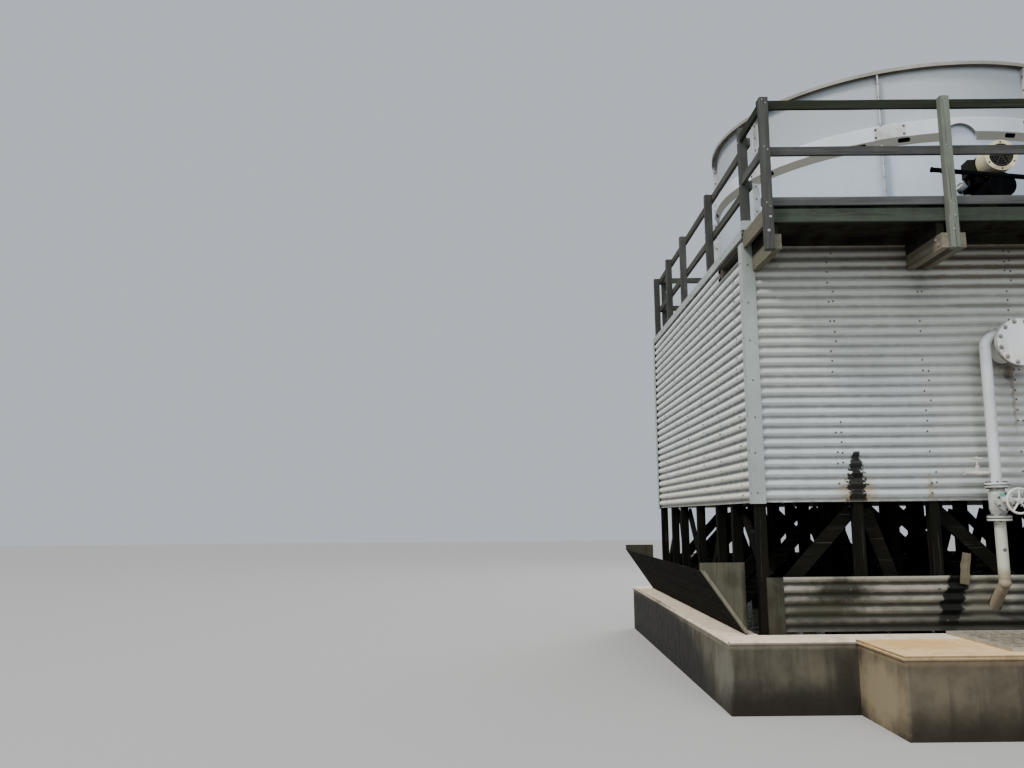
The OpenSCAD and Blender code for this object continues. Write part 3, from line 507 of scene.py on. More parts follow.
@dataclass(frozen=True)
class SheetFinish(Finish):
    """Weathered corrugated sheet: pale ridges, painted shade in the troughs and on the faces that look up, a tone by
    height, runs of dirt and stains.
    """

    pale: Colour = (0.60, 0.63, 0.64)
    # dirt colours the runs of dirt and also the painted shade in the troughs and on the upper faces; dirt_share sets
    # that painted shade's share.
    dirt: Colour = (0.20, 0.18, 0.155)
    warm: Colour = (0.50, 0.46, 0.38)
    dirt_share: float = 0.8
    run_share: float = 0.12
    # Painted shade: where in the trough it starts, and how much it darkens the faces that look up.
    trough_shade_from: float = 0.72
    upper_shade_share: float = 0.10
    warm_from: float = 2.6
    warm_to: float = 4.2
    warm_share: float = 0.75
    fine_share: float = 0.12
    # Painted shade under the walkway: a dark band that rises to the sheets' top.
    walkway_shade: Colour = (0.13, 0.105, 0.08)
    walkway_shade_from: float = 4.40
    walkway_shade_to: float = 4.85
    walkway_shade_share: float = 0.0

    def dress(self, graph: Graph) -> Sequence[object]:
        """Ridges, painted shade in the troughs, on the upper faces and under the walkway, a tone by height, runs and
        stains.

        Args:
            graph: The material's graph.

        Returns:
            Colour, roughness and normal.
        """
        trough, upper = graph.use(TROUGHS, Pitch=SIZES.pitch, Ridge=SIZES.ridge)
        fine = graph.mask(BLOTCHES, Scale=38.0, Low=0.35, High=0.75)
        colour = graph.mix(graph.mask(BLOTCHES, Scale=1.6, Low=0.3, High=0.75), self.pale, shaded(self.pale, 0.90))
        colour = graph.lay(self.warm, colour, fine, self.fine_share)
        warm = graph.mask(HEIGHT, From=self.warm_from, To=self.warm_to, Waver=0.35)
        colour = graph.lay(self.warm, colour, warm, self.warm_share)
        # Painted shade under the walkway, darkest at the top.
        if self.walkway_shade_share:
            walkway_shade = graph.mask(HEIGHT, From=self.walkway_shade_from, To=self.walkway_shade_to, Waver=0.10)
            colour = graph.lay(self.walkway_shade, colour, walkway_shade, self.walkway_shade_share)
        # Painted shade: the faces that look up and the troughs are darkened with the dirt colour.
        upper_shade = graph.math("MULTIPLY", upper, self.upper_shade_share)
        waver = graph.waver(graph.place(), 9.0, 4.0, 0.55, 0.5)
        trough_shade = graph.ramp(graph.math("ADD", trough, waver), self.trough_shade_from, 1.0)
        colour = graph.lay(self.dirt, colour, graph.math("MAXIMUM", upper_shade, trough_shade), self.dirt_share)
        runs = graph.mask(RUNS, Across=17.0, Along=0.55, Low=0.48, High=0.72)
        colour = self.stained(graph, graph.lay(self.dirt, colour, runs, self.run_share))
        dents = graph.bump(graph.noise(graph.place(), 5.0, 3.0, 0.5), 0.25, 0.004)
        return colour, graph.ramp(fine, 0.0, 1.0, 0.42, 0.62), dents


@dataclass(frozen=True)
class PaintFinish(Finish):
    """Paint, gel coat or bare metal with dust, runs and chips."""

    base: Colour = (0.6, 0.6, 0.6)
    dirt: Colour = (0.2, 0.18, 0.15)
    chip: Colour = (0.25, 0.10, 0.05)
    dirt_share: float = 0.35
    run_share: float = 0.25
    fine_share: float = 0.08
    chip_share: float = 0.0
    rough_low: float = 0.35
    rough_high: float = 0.6
    metallic: float = 0.0
    scale: float = 3.0
    bump: float = 0.2
    grit: float = 90.0
    # Colour and share of the painted shade on the undersides.
    under: Colour = (0.2, 0.18, 0.15)
    underside_shade_share: float = 0.0

    def dress(self, graph: Graph) -> Sequence[object]:
        """Blotches, runs, chips, painted shade on the undersides and stains.

        Args:
            graph: The material's graph.

        Returns:
            Colour, roughness, normal and the share of metal.
        """
        clouds = graph.mask(BLOTCHES, Scale=self.scale, Low=0.35, High=0.75)
        fine = graph.mask(BLOTCHES, Scale=self.scale * 14, Low=0.4, High=0.7)
        runs = graph.mask(RUNS, Across=self.scale * 7, Along=0.9, Low=0.5, High=0.75)
        colour = graph.mix(clouds, self.base, shaded(self.base, 0.88))
        for mask, share in ((clouds, self.dirt_share), (runs, self.run_share), (fine, self.fine_share)):
            colour = graph.lay(self.dirt, colour, mask, share)
        if self.chip_share:
            chips = graph.mask(BLOTCHES, Scale=self.scale * 6, Low=0.66, High=0.70)
            colour = graph.lay(self.chip, colour, chips, self.chip_share)
        # Painted shade: the undersides are darkened.
        if self.underside_shade_share:
            down = graph.use(FACING, Start=0.1, Full=0.55)["Down"]
            colour = graph.lay(self.under, colour, down, self.underside_shade_share)
        rough = graph.ramp(fine, 0.0, 1.0, self.rough_low, self.rough_high)
        grit = graph.bump(graph.noise(graph.place(), self.grit, 3.0), self.bump, 0.002)
        return self.stained(graph, colour), rough, grit, self.metallic


@dataclass(frozen=True)
class TimberFinish(Finish):
    """Weathered timber: grain, cracks, a tint of each board's own and moss."""

    gloss: float = field(default=0.1, kw_only=True)
    light: Colour = (0.30, 0.29, 0.26)
    dark: Colour = (0.12, 0.11, 0.095)
    moss: Colour = (0.13, 0.17, 0.11)
    crack: Colour = (0.03, 0.028, 0.025)
    moss_share: float = 0.1
    line_share: float = 0.45
    crack_share: float = 0.8
    along: Axis | None = None
    rough: float = 0.85

    def dress(self, graph: Graph) -> Sequence[object]:
        """Grain along each board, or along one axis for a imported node.

        Args:
            graph: The material's graph.

        Returns:
            Colour, roughness and normal.
        """
        if self.along is None:
            vector = graph.add("ShaderNodeAttribute", attribute_name="along").outputs["Vector"]
            tint = graph.add("ShaderNodeAttribute", attribute_name="tint").outputs["Fac"]
        else:
            parts = graph.parts(graph.place())
            order = sorted(range(3), key=lambda i: i != self.along.value)
            vector = graph.join(*(parts[i] for i in order))
            tint = graph.noise(graph.place(), 0.9, 1.0)
        lines, bands, cracks = graph.use(GRAIN, Vector=vector)
        middle = tuple((a + b) / 2 for a, b in zip(self.light, self.dark))
        colour = graph.mix(bands, self.light, middle)
        colour = graph.lay(self.dark, colour, lines, self.line_share)
        colour = graph.mix(graph.ramp(tint, 0.0, 1.0, 0.0, 0.45), colour, self.dark)
        colour = graph.lay(self.moss, colour, graph.mask(BLOTCHES, Scale=5.0, Low=0.38, High=0.68), self.moss_share)
        colour = self.stained(graph, graph.lay(self.crack, colour, cracks, self.crack_share))
        rough = graph.ramp(lines, 0.0, 1.0, self.rough - 0.12, self.rough)
        height = graph.math("SUBTRACT", lines, graph.math("MULTIPLY", cracks, 2.0))
        return colour, rough, graph.bump(height, 0.5, 0.0015)


@dataclass(frozen=True)
class ConcreteFinish(Finish):
    """Old concrete: blotches, pits, runs of dirt, and a pale crusted top that is brightest on the faces that look up,
    partly a painted highlight; the walls are kept dark partly as painted shade.
    """

    # The walls' colours are kept dark partly as painted shade.
    pale: Colour = (0.090, 0.079, 0.057)
    dark: Colour = (0.026, 0.022, 0.016)
    damp: Colour = (0.012, 0.0095, 0.0065)
    # The pale top layer is partly a painted highlight: full on the faces that look up.
    crust_and_highlight: Colour = (0.70, 0.60, 0.465)
    crust_from: float = 0.60
    crust_to: float = 0.66
    lip_share: float = 0.25
    damp_from: float = 0.34
    damp_to: float = 0.02
    damp_share: float = 0.8
    pit_share: float = 0.4

    def dress(self, graph: Graph) -> Sequence[object]:
        """Blotches, runs, the crusted top by height with its painted highlight on the faces that look up, and damp near
        the ground.

        Args:
            graph: The material's graph.

        Returns:
            Colour, roughness and normal.
        """
        clouds = graph.mask(BLOTCHES, Scale=1.5, Low=0.35, High=0.68)
        blots = graph.mask(BLOTCHES, Scale=7.0, Low=0.42, High=0.7)
        runs = graph.mask(RUNS, Across=9.0, Along=0.8, Low=0.44, High=0.66)
        colour = self.pale
        for mask, share in ((clouds, 0.6), (runs, 0.5), (blots, 0.22)):
            colour = graph.lay(self.dark, colour, mask, share)
        damp = graph.mask(HEIGHT, From=self.damp_from, To=self.damp_to, Waver=0.14)
        colour = graph.lay(self.damp, colour, damp, self.damp_share)
        lip = graph.mask(HEIGHT, From=self.crust_from, To=self.crust_to, Waver=0.02)
        # Painted highlight: the pale top layer is full on the faces that look up and weaker on the walls.
        top = graph.mask(FACING, Start=0.4, Full=0.9)
        crust_and_highlight = graph.math("MULTIPLY", lip, graph.ramp(top, 0.0, 1.0, self.lip_share, 1.0))
        worn = graph.math("MULTIPLY", crust_and_highlight, graph.ramp(blots, 0.0, 1.0, 1.0, 0.75))
        colour = graph.mix(worn, colour, self.crust_and_highlight)
        pits = graph.mask(BLOTCHES, Scale=120.0, Low=0.62, High=0.7)
        colour = self.stained(graph, graph.lay(self.dark, colour, pits, self.pit_share))
        rough = graph.ramp(blots, 0.0, 1.0, 0.75, 0.92)
        return colour, rough, graph.bump(graph.noise(graph.place(), 45.0, 6.0, 0.65), 0.5, 0.004)


@dataclass(frozen=True)
class WaterFinish(Finish):
    """Dark, still basin water."""

    colour: Colour = (0.030, 0.036, 0.030)
    murk: Colour = (0.05, 0.055, 0.04)

    def dress(self, graph: Graph) -> Sequence[object]:
        """A murky colour, gloss and fine ripples.

        Args:
            graph: The material's graph.

        Returns:
            Colour, roughness and normal.
        """
        clouds = graph.mask(BLOTCHES, Scale=2.2, Low=0.3, High=0.7)
        ripples = graph.bump(graph.noise(graph.place(), 22.0, 3.0), 0.35, 0.01)
        return graph.mix(clouds, self.colour, self.murk), graph.ramp(clouds, 0.0, 1.0, 0.06, 0.14), ripples


@dataclass(frozen=True)
class FillFinish(Finish):
    """The dark block of fill, striped like the edges of its film sheets, with painted shade in the gaps between them.
    """

    colour: Colour = (0.045, 0.05, 0.048)
    scaled: Colour = (0.20, 0.19, 0.16)
    stripe: float = 0.019
    scale_share: float = 0.35

    def dress(self, graph: Graph) -> Sequence[object]:
        """Stripes across the block and scale on them.

        Args:
            graph: The material's graph.

        Returns:
            Colour, roughness and normal.
        """
        turns = graph.math("MULTIPLY", graph.parts(graph.place())[0], 2 * math.pi / self.stripe)
        edge = graph.ramp(graph.math("SINE", turns), 0.2, 0.9)
        scale = graph.mask(BLOTCHES, Scale=3.0, Low=0.45, High=0.7)
        # Painted shade: between the film edges the colour falls to 0.3 of itself.
        colour = graph.mix(edge, shaded(self.colour, 0.3), self.colour)
        colour = graph.lay(self.scaled, colour, scale, self.scale_share)
        return colour, graph.ramp(scale, 0.0, 1.0, 0.5, 0.8), graph.bump(edge, 0.6, 0.006)


def stains_on_front() -> tuple[Stain, ...]:
    """The front casing's stains: the black run with its tan edges, algae under the walkway, rust under the header and
    painted shadow about the header's hole.

    Returns:
        The stains.
    """
    face, deep = -SIZES.half, 0.3
    tan, black, brown = (0.27, 0.205, 0.12), (0.006, 0.006, 0.005), (0.085, 0.065, 0.045)
    spots = (
        (-1.97, 2.10, 0.19, 0.17, tan, 0.65, 0.5, 0.30, 16.0),
        (-1.97, 2.06, 0.095, 0.10, black, 0.97, 0.10, 0.55, 24.0),
        (-1.97, 2.22, 0.100, 0.13, black, 0.97, 0.10, 0.60, 30.0),
        (-1.965, 2.37, 0.070, 0.13, black, 0.97, 0.10, 0.60, 30.0),
        (-1.96, 2.50, 0.040, 0.05, black, 0.95, 0.15, 0.50, 30.0),
        (-1.21, 2.16, 0.03, 0.14, tan, 0.6, 0.4, 0.3, 20.0),
        (-0.1, 3.0, 1.0, 1.1, (0.375, 0.37, 0.33), 0.45, 0.6, 0.2, 2.0),
        (-2.83, 4.60, 0.16, 0.10, (0.07, 0.07, 0.05), 0.8, 0.5, 0.4, 8.0),
        (-0.30, 3.36, 0.05, 0.10, brown, 0.85, 0.5, 0.4, 20.0),
        (-0.27, 3.10, 0.018, 0.34, (0.20, 0.17, 0.13), 0.7, 0.5, 0.4, 26.0),
        # The patch about the header's hole is partly rust and partly painted shadow of the pipe.
        (-0.35, 3.60, 0.23, 0.23, (0.15, 0.13, 0.10), 0.7, 0.3, 0.3, 12.0),
        (0.0, 2.018, 3.1, 0.016, (0.10, 0.09, 0.075), 0.9, 0.4, 0.5, 12.0),
    )
    found = [Stain((x, face, z), (wide, deep, high), *rest) for x, z, wide, high, *rest in spots]
    trough = SIZES.ridge + SIZES.pitch / 2
    for n, start, stop, share in ((24, -2.9, 2.9, 0.95), (23, -2.3, 2.6, 0.9), (22, -1.9, 1.9, 0.9),
                                  (21, -1.5, 1.2, 0.75), (20, -1.1, 0.9, 0.6), (18, -0.9, 0.1, 0.4)):
        middle, reach = (start + stop) / 2, (stop - start) / 2
        z = trough + n * SIZES.pitch
        found.append(Stain((middle, face, z), (reach, deep, 0.026), brown, share, 0.5, 0.35, 7.0))
    return tuple(found)


def stains_on_left() -> tuple[Stain, ...]:
    """The left casing's drip edge and the grey patch about its torn gap.

    Returns:
        The stains.
    """
    face, deep = -SIZES.half, 0.3
    return (
        Stain((face, 0.0, 2.02), (deep, 3.1, 0.022), (0.12, 0.11, 0.09), 0.8, 0.4, 0.5, 12.0),
        Stain((face, -2.45, 4.72), (deep, 0.62, 0.14), (0.10, 0.10, 0.09), 0.5, 0.5, 0.4, 8.0),
    )


def stains_on_skirt() -> tuple[Stain, ...]:
    """The skirt's black run behind the broken board and its green patches.

    Returns:
        The stains.
    """
    face, deep = -SIZES.half, 0.3
    black, green = (0.005, 0.005, 0.004), (0.045, 0.052, 0.026)
    spots = (
        (-1.000, 1.20, 0.115, 0.10, black, 1.0, 0.12, 0.30, 14.0),
        (-1.040, 1.08, 0.115, 0.12, black, 1.0, 0.12, 0.30, 14.0),
        (-1.090, 0.94, 0.110, 0.13, black, 1.0, 0.12, 0.30, 14.0),
        (-1.130, 0.79, 0.105, 0.12, black, 1.0, 0.15, 0.30, 14.0),
        (-2.20, 1.12, 0.28, 0.13, (0.012, 0.013, 0.008), 0.92, 0.5, 0.35, 8.0),
        (-2.40, 0.92, 0.36, 0.11, (0.025, 0.026, 0.016), 0.75, 0.6, 0.4, 8.0),
        (-0.75, 0.98, 0.16, 0.24, (0.10, 0.095, 0.07), 0.7, 0.5, 0.4, 9.0),
        (1.3, 1.0, 0.45, 0.2, green, 0.6, 0.6, 0.4, 7.0),
        (0.0, 0.76, 3.0, 0.09, (0.016, 0.015, 0.012), 0.85, 0.5, 0.3, 9.0),
    )
    return tuple(Stain((x, face, z), (wide, deep, high), *rest) for x, z, wide, high, *rest in spots)


class Finishes:
    """The finishes of the cell, by what they cover."""

    # The front's dark band along its top is painted shade under the walkway.
    FRONT_SHEET = SheetFinish("front_sheet", pale=(0.455, 0.5, 0.515), dirt=(0.135, 0.14, 0.13), gloss=0.2,
        trough_shade_from=0.5, dirt_share=0.85, upper_shade_share=0.26, warm=(0.385, 0.385, 0.335), walkway_shade_share=0.6, walkway_shade_from=4.35,
        walkway_shade_to=4.8, stains=stains_on_front())
    BACK_SHEET = SheetFinish("back_sheet", pale=(0.58, 0.6, 0.6), warm=(0.52, 0.49, 0.41))
    LEFT_SHEET = SheetFinish("left_sheet", pale=(0.7, 0.725, 0.7), dirt=(0.07, 0.075, 0.072), gloss=0.2,
        trough_shade_from=0.3, dirt_share=1.0, upper_shade_share=0.2, warm=(0.66, 0.62, 0.5), warm_from=3.0, warm_to=2.0,
        stains=stains_on_left())
    RIGHT_SHEET = SheetFinish("right_sheet", pale=(0.64, 0.63, 0.58), dirt=(0.13, 0.12, 0.1), trough_shade_from=0.5,
        warm=(0.6, 0.55, 0.44), warm_from=3.4, warm_to=2.0)
    SKIRT = SheetFinish("skirt_sheet", pale=(0.285, 0.272, 0.228), dirt=(0.022, 0.021, 0.017), gloss=0.12,
        trough_shade_from=0.28, dirt_share=0.94, upper_shade_share=0.25, warm=(0.058, 0.057, 0.049), warm_from=1.26, warm_to=0.9,
        stains=stains_on_skirt())
    TRIM = PaintFinish("trim_sheet", base=(0.288, 0.322, 0.312), dirt=(0.13, 0.117, 0.094), dirt_share=0.14,
        run_share=0.14, scale=2.0, bump=0.08, gloss=0.25)
    STACK = PaintFinish("stack_gelcoat", base=(0.395, 0.455, 0.535), dirt=(0.32, 0.31, 0.27), dirt_share=0.1,
        run_share=0.1, scale=1.1, rough_low=0.4, rough_high=0.55, bump=0.05, grit=30.0, gloss=0.3, stains=(
        Stain((-0.07, 0.0, 7.25), (9.0, 9.0, 0.85), (0.27, 0.285, 0.285), 0.7, 0.6, 0.05, 1.0),
        Stain((-0.07, 0.0, 4.8), (9.0, 9.0, 0.22), (0.3, 0.29, 0.25), 0.4, 0.6, 0.2, 4.0)))
    # The hoop's and the rim's darker undersides are painted shade.
    HOOP = PaintFinish("hoop_gelcoat", base=(0.51, 0.555, 0.61), dirt=(0.34, 0.3, 0.22), dirt_share=0.12,
        run_share=0.12, scale=1.6, rough_low=0.4, rough_high=0.55, bump=0.06, grit=30.0, gloss=0.3,
        under=(0.245, 0.225, 0.175), underside_shade_share=0.85)
    RIM = PaintFinish("rim_gelcoat", base=(0.22, 0.21, 0.18), dirt=(0.11, 0.1, 0.08), dirt_share=0.45, scale=2.0,
        under=(0.09, 0.085, 0.07), underside_shade_share=0.7)
    FLANGE = PaintFinish("flange_gelcoat", base=(0.42, 0.43, 0.43), dirt=(0.16, 0.15, 0.12), dirt_share=0.45, scale=5.0)
    MID_POST = TimberFinish("mid_post_timber", light=(0.21, 0.228, 0.19), dark=(0.065, 0.072, 0.06),
        moss=(0.14, 0.175, 0.12), moss_share=0.35)
    POST = TimberFinish("post_timber", light=(0.072, 0.074, 0.071), dark=(0.025, 0.024, 0.022), moss_share=0.08)
    TOP_RAIL = TimberFinish("top_rail_timber", light=(0.037, 0.042, 0.031), dark=(0.01, 0.011, 0.008),
        moss=(0.019, 0.026, 0.014), moss_share=0.45, gloss=0.05)
    MID_RAIL = TimberFinish("mid_rail_timber", light=(0.09, 0.09, 0.092), dark=(0.024, 0.023, 0.022))
    TOE = TimberFinish("toe_timber", light=(0.105, 0.107, 0.11), dark=(0.032, 0.032, 0.032))
    FASCIA = TimberFinish("fascia_timber", light=(0.073, 0.086, 0.069), dark=(0.011, 0.014, 0.01),
        moss=(0.046, 0.066, 0.042), moss_share=0.5, gloss=0.08)
    # A near-black board that paints the shade seen through the gap between the toe board and the fascia.
    SHADE_CLEAT = TimberFinish("shade_cleat_timber", light=(0.008, 0.008, 0.007), dark=(0.003, 0.003, 0.003), moss_share=0.2,
        gloss=0.0)
    OUTRIGGER = TimberFinish("outrigger_timber", light=(0.2, 0.18, 0.138), dark=(0.055, 0.047, 0.035), moss_share=0.15)
    # Joists and ledger under the walkway are near-black: painted shade.
    SHADED_JOIST = TimberFinish("joist_shaded_timber", light=(0.026, 0.021, 0.015), dark=(0.006, 0.005, 0.004), gloss=0.02)
    PLANK = TimberFinish("plank_timber", light=(0.17, 0.162, 0.14), dark=(0.06, 0.055, 0.045), moss_share=0.25,
        gloss=0.22)
    # The walkway's planks are a near-black copy of the plank timber: painted shade under the walkway.
    SHADED_PLANK = TimberFinish("walkway_plank_shaded_timber", light=(0.024, 0.021, 0.016), dark=(0.006, 0.0055, 0.0045),
        gloss=0.02)
    SIDE_RAIL = TimberFinish("side_rail_timber", light=(0.08, 0.078, 0.07), dark=(0.024, 0.024, 0.021))
    # The sloped splash boards and their brackets are near-black: painted shade of their overhanging undersides.
    SHADED_SPLASH = TimberFinish("splash_shaded_timber", light=(0.011, 0.01, 0.008), dark=(0.003, 0.003, 0.0025),
        moss=(0.008, 0.009, 0.005), moss_share=0.4, gloss=0.02)
    CHEEK = TimberFinish("cheek_timber", light=(0.09, 0.085, 0.062), dark=(0.035, 0.032, 0.023),
        moss=(0.055, 0.054, 0.038), moss_share=0.4, stains=(
        Stain((-3.15, -3.04, 1.1), (0.05, 0.1, 0.36), (0.012, 0.011, 0.008), 0.8, 0.5, 0.35, 9.0),
        Stain((-3.3, -3.04, 1.26), (0.08, 0.1, 0.09), (0.03, 0.028, 0.02), 0.6, 0.5, 0.4, 9.0)))
    BATTEN = TimberFinish("batten_timber", light=(0.22, 0.2, 0.15), dark=(0.09, 0.08, 0.06), moss_share=0.2, gloss=0.22)
    END_BOARD = TimberFinish("end_board_timber", light=(0.055, 0.047, 0.035), dark=(0.016, 0.014, 0.01),
        moss_share=0.15)
    TAN_BOARD = TimberFinish("broken_board_timber", light=(0.165, 0.14, 0.095), dark=(0.055, 0.045, 0.03), gloss=0.22)
    # Columns, braces and fill beams inside the air inlet are near-black: painted shade of its dark inside.
    SHADED_COLUMN = TimberFinish("column_shaded_timber", light=(0.012, 0.0115, 0.009), dark=(0.003, 0.003, 0.0025), along=Axis.Z,
        moss=(0.006, 0.007, 0.005), rough=0.9, moss_share=0.4, gloss=0.03)
    SHADED_BRACE = TimberFinish("brace_shaded_timber", light=(0.011, 0.0105, 0.008), dark=(0.003, 0.003, 0.0025), along=Axis.X,
        moss=(0.006, 0.007, 0.005), rough=0.9, moss_share=0.4, gloss=0.03)
    BEAM = TimberFinish("beam_timber", light=(0.1, 0.085, 0.063), dark=(0.03, 0.025, 0.02), along=Axis.X,
        moss_share=0.3, gloss=0.22)
    CONCRETE = ConcreteFinish("basin_concrete", gloss=0.2, stains=(
        # The first stain is painted shade on the left basin wall's outer face.
        Stain((-3.46, 1.1, 0.22), (0.035, 3.5, 0.52), (0.009, 0.0085, 0.007), 0.92, 0.2, 0.12, 2.0),
        Stain((-3.46, -3.3, 0.35), (0.035, 0.45, 0.3), (0.125, 0.118, 0.096), 0.7, 0.5, 0.3, 4.0),
        Stain((-2.9, -3.47, 0.05), (0.9, 0.4, 0.22), (0.013, 0.01, 0.007), 0.85, 0.6, 0.35, 5.0),
        Stain((-2.35, -3.47, 0.3), (0.1, 0.4, 0.36), (0.018, 0.015, 0.011), 0.7, 0.6, 0.35, 5.0)))
    SUMP = ConcreteFinish("sump_concrete", pale=(0.11, 0.092, 0.062), crust_and_highlight=(0.66, 0.46, 0.24), gloss=0.2, stains=(
        Stain((0.0, -4.53, 0.02), (2.3, 0.3, 0.2), (0.016, 0.012, 0.007), 0.8, 0.6, 0.35, 5.0),
        Stain((-2.22, -3.95, 0.3), (0.035, 0.5, 0.3), (0.24, 0.195, 0.12), 0.8, 0.5, 0.3, 5.0),
        Stain((-1.8, -3.8, 0.7), (0.4, 0.3, 0.04), (0.55, 0.32, 0.1), 0.6, 0.6, 0.3, 5.0)))
    GRATING = PaintFinish("grating_bars", base=(0.4, 0.37, 0.3), dirt=(0.18, 0.13, 0.08), dirt_share=0.5, metallic=0.4,
        scale=8.0, rough_low=0.5, rough_high=0.75)
    WATER = WaterFinish("basin_water")
    FILL = FillFinish("fill_film")
    DRIFT = PaintFinish("drift_blades", base=(0.16, 0.17, 0.16), dirt_share=0.4)
    HUB = PaintFinish("hub_paint", base=(0.2, 0.21, 0.22), dirt_share=0.4, metallic=0.3, scale=6.0)
    BLADE = PaintFinish("blade_gelcoat", base=(0.46, 0.48, 0.47), dirt=(0.2, 0.19, 0.16), dirt_share=0.4, scale=2.5)
    GEARBOX = PaintFinish("gearbox_paint", base=(0.05, 0.055, 0.062), scale=5.0, gloss=0.2)
    SHAFT = PaintFinish("shaft_steel", base=(0.35, 0.36, 0.36), dirt_share=0.4, metallic=0.8, scale=6.0)
    MOTOR = PaintFinish("motor_paint", base=(0.008, 0.009, 0.008), dirt=(0.03, 0.026, 0.02), dirt_share=0.3, scale=7.0,
        rough_low=0.6, rough_high=0.8, gloss=0.05)
    # The cowl's first stain is its dark grille, darkened further as painted shade in its recess.
    COWL = PaintFinish("cowl_paint", base=(0.64, 0.585, 0.37), dirt=(0.24, 0.2, 0.13), chip=(0.12, 0.09, 0.06),
        chip_share=0.3, scale=6.0, stains=(
        Stain((-0.366, -3.387, 5.61), (0.128, 0.03, 0.128), (0.012, 0.011, 0.01), 1.0, 0.06, 0.02),
        Stain((-0.366, -3.3, 5.475), (0.12, 0.16, 0.03), (0.2, 0.16, 0.1), 0.7, 0.5, 0.3)))
    BLACK = PaintFinish("black_paint", base=(0.0025, 0.003, 0.004), dirt=(0.012, 0.011, 0.01), dirt_share=0.2,
        scale=6.0, rough_low=0.65, rough_high=0.85, gloss=0.0)
    HEADER = PaintFinish("header_paint", base=(0.66, 0.66, 0.63), dirt=(0.22, 0.19, 0.14), dirt_share=0.3,
        chip=(0.13, 0.05, 0.025), chip_share=0.4, run_share=0.4, scale=5.0, gloss=0.3, stains=(
        Stain((-0.35, -3.36, 3.5), (0.24, 0.035, 0.16), (0.05, 0.046, 0.038), 0.85, 0.3, 0.2, 8.0),
        Stain((-0.38, -3.42, 3.68), (0.17, 0.05, 0.15), (0.64, 0.66, 0.67), 0.85, 0.35, 0.3, 14.0)))
    WHITE_PIPE = PaintFinish("white_pipe_paint", base=(0.5, 0.525, 0.54), dirt=(0.26, 0.22, 0.16), dirt_share=0.15,
        run_share=0.15, scale=4.0, gloss=0.3, stains=(
        Stain((-0.64, -3.25, 1.2), (0.2, 0.2, 0.85), (0.4, 0.395, 0.31), 0.85, 0.25, 0.1, 9.0),
        Stain((-0.64, -3.25, 1.22), (0.2, 0.2, 0.12), (0.2, 0.155, 0.1), 0.8, 0.5, 0.3, 14.0),
        Stain((-0.64, -3.08, 1.03), (0.2, 0.25, 0.14), (0.19, 0.155, 0.1), 0.9, 0.5, 0.3, 14.0),
        Stain((-0.64, -3.31, 1.53), (0.02, 0.05, 0.02), (0.05, 0.04, 0.03), 0.9)))
    VALVE = PaintFinish("valve_paint", base=(0.42, 0.44, 0.42), dirt=(0.15, 0.13, 0.1), dirt_share=0.5,
        chip=(0.03, 0.2, 0.14), chip_share=0.5, run_share=0.3, scale=7.0, bump=0.5, gloss=0.3, stains=(
        Stain((-0.668, -3.4, 2.068), (0.035, 0.02, 0.016), (0.04, 0.3, 0.22), 0.9, 0.3, 0.3, 30.0),))
    WHEEL = PaintFinish("wheel_paint", base=(0.56, 0.56, 0.52), dirt=(0.26, 0.24, 0.18), dirt_share=0.3, scale=9.0)
    TAP = PaintFinish("tap_paint", base=(0.48, 0.47, 0.43), dirt=(0.22, 0.2, 0.16), dirt_share=0.4, scale=12.0)
    BOLT = PaintFinish("bolt_zinc", base=(0.3, 0.3, 0.29), dirt=(0.12, 0.095, 0.065), dirt_share=0.5, metallic=0.4,
        scale=20.0)
    DARK_BOLT = PaintFinish("screw_rusty", base=(0.075, 0.065, 0.055), dirt=(0.035, 0.025, 0.018), dirt_share=0.6,
        metallic=0.3, scale=20.0)


def around(count: int) -> Iterator[tuple[int, int]]:
    """Each index with the next one, and the last with the first."""
    return ((i, (i + 1) % count) for i in range(count))


def circle(radius: float, count: int, shift: float = 0.0) -> list[Span]:
    """Points around a circle, from a share of a step on."""
    angles = [2 * math.pi * (i + shift) / count for i in range(count)]
    return [(radius * math.cos(angle), radius * math.sin(angle)) for angle in angles]


def heading(angle: float) -> Vector:
    """The level direction at an angle in degrees."""
    turn = math.radians(angle)
    return Vector((math.cos(turn), math.sin(turn), 0))


def tilt(axis: Vector) -> Matrix:
    """The rotation that brings the upright to an axis."""
    return UP.rotation_difference(Vector(axis)).to_matrix()


def grain_start(rng: random.Random) -> tuple[Vector, float]:
    """A board's own place in the grain, and its own tint."""
    shift = Vector((rng.uniform(-9, 9), rng.uniform(-9, 9), rng.uniform(-9, 9)))
    return shift, rng.random()


def put(name: str, data: bpy.types.ID) -> Object:
    """Makes an object of the scene.

    Args:
        name: Its name.
        data: Its mesh, light or camera.

    Returns:
        The object.
    """
    made = bpy.data.objects.new(name, data)
    bpy.context.scene.collection.objects.link(made)
    return made


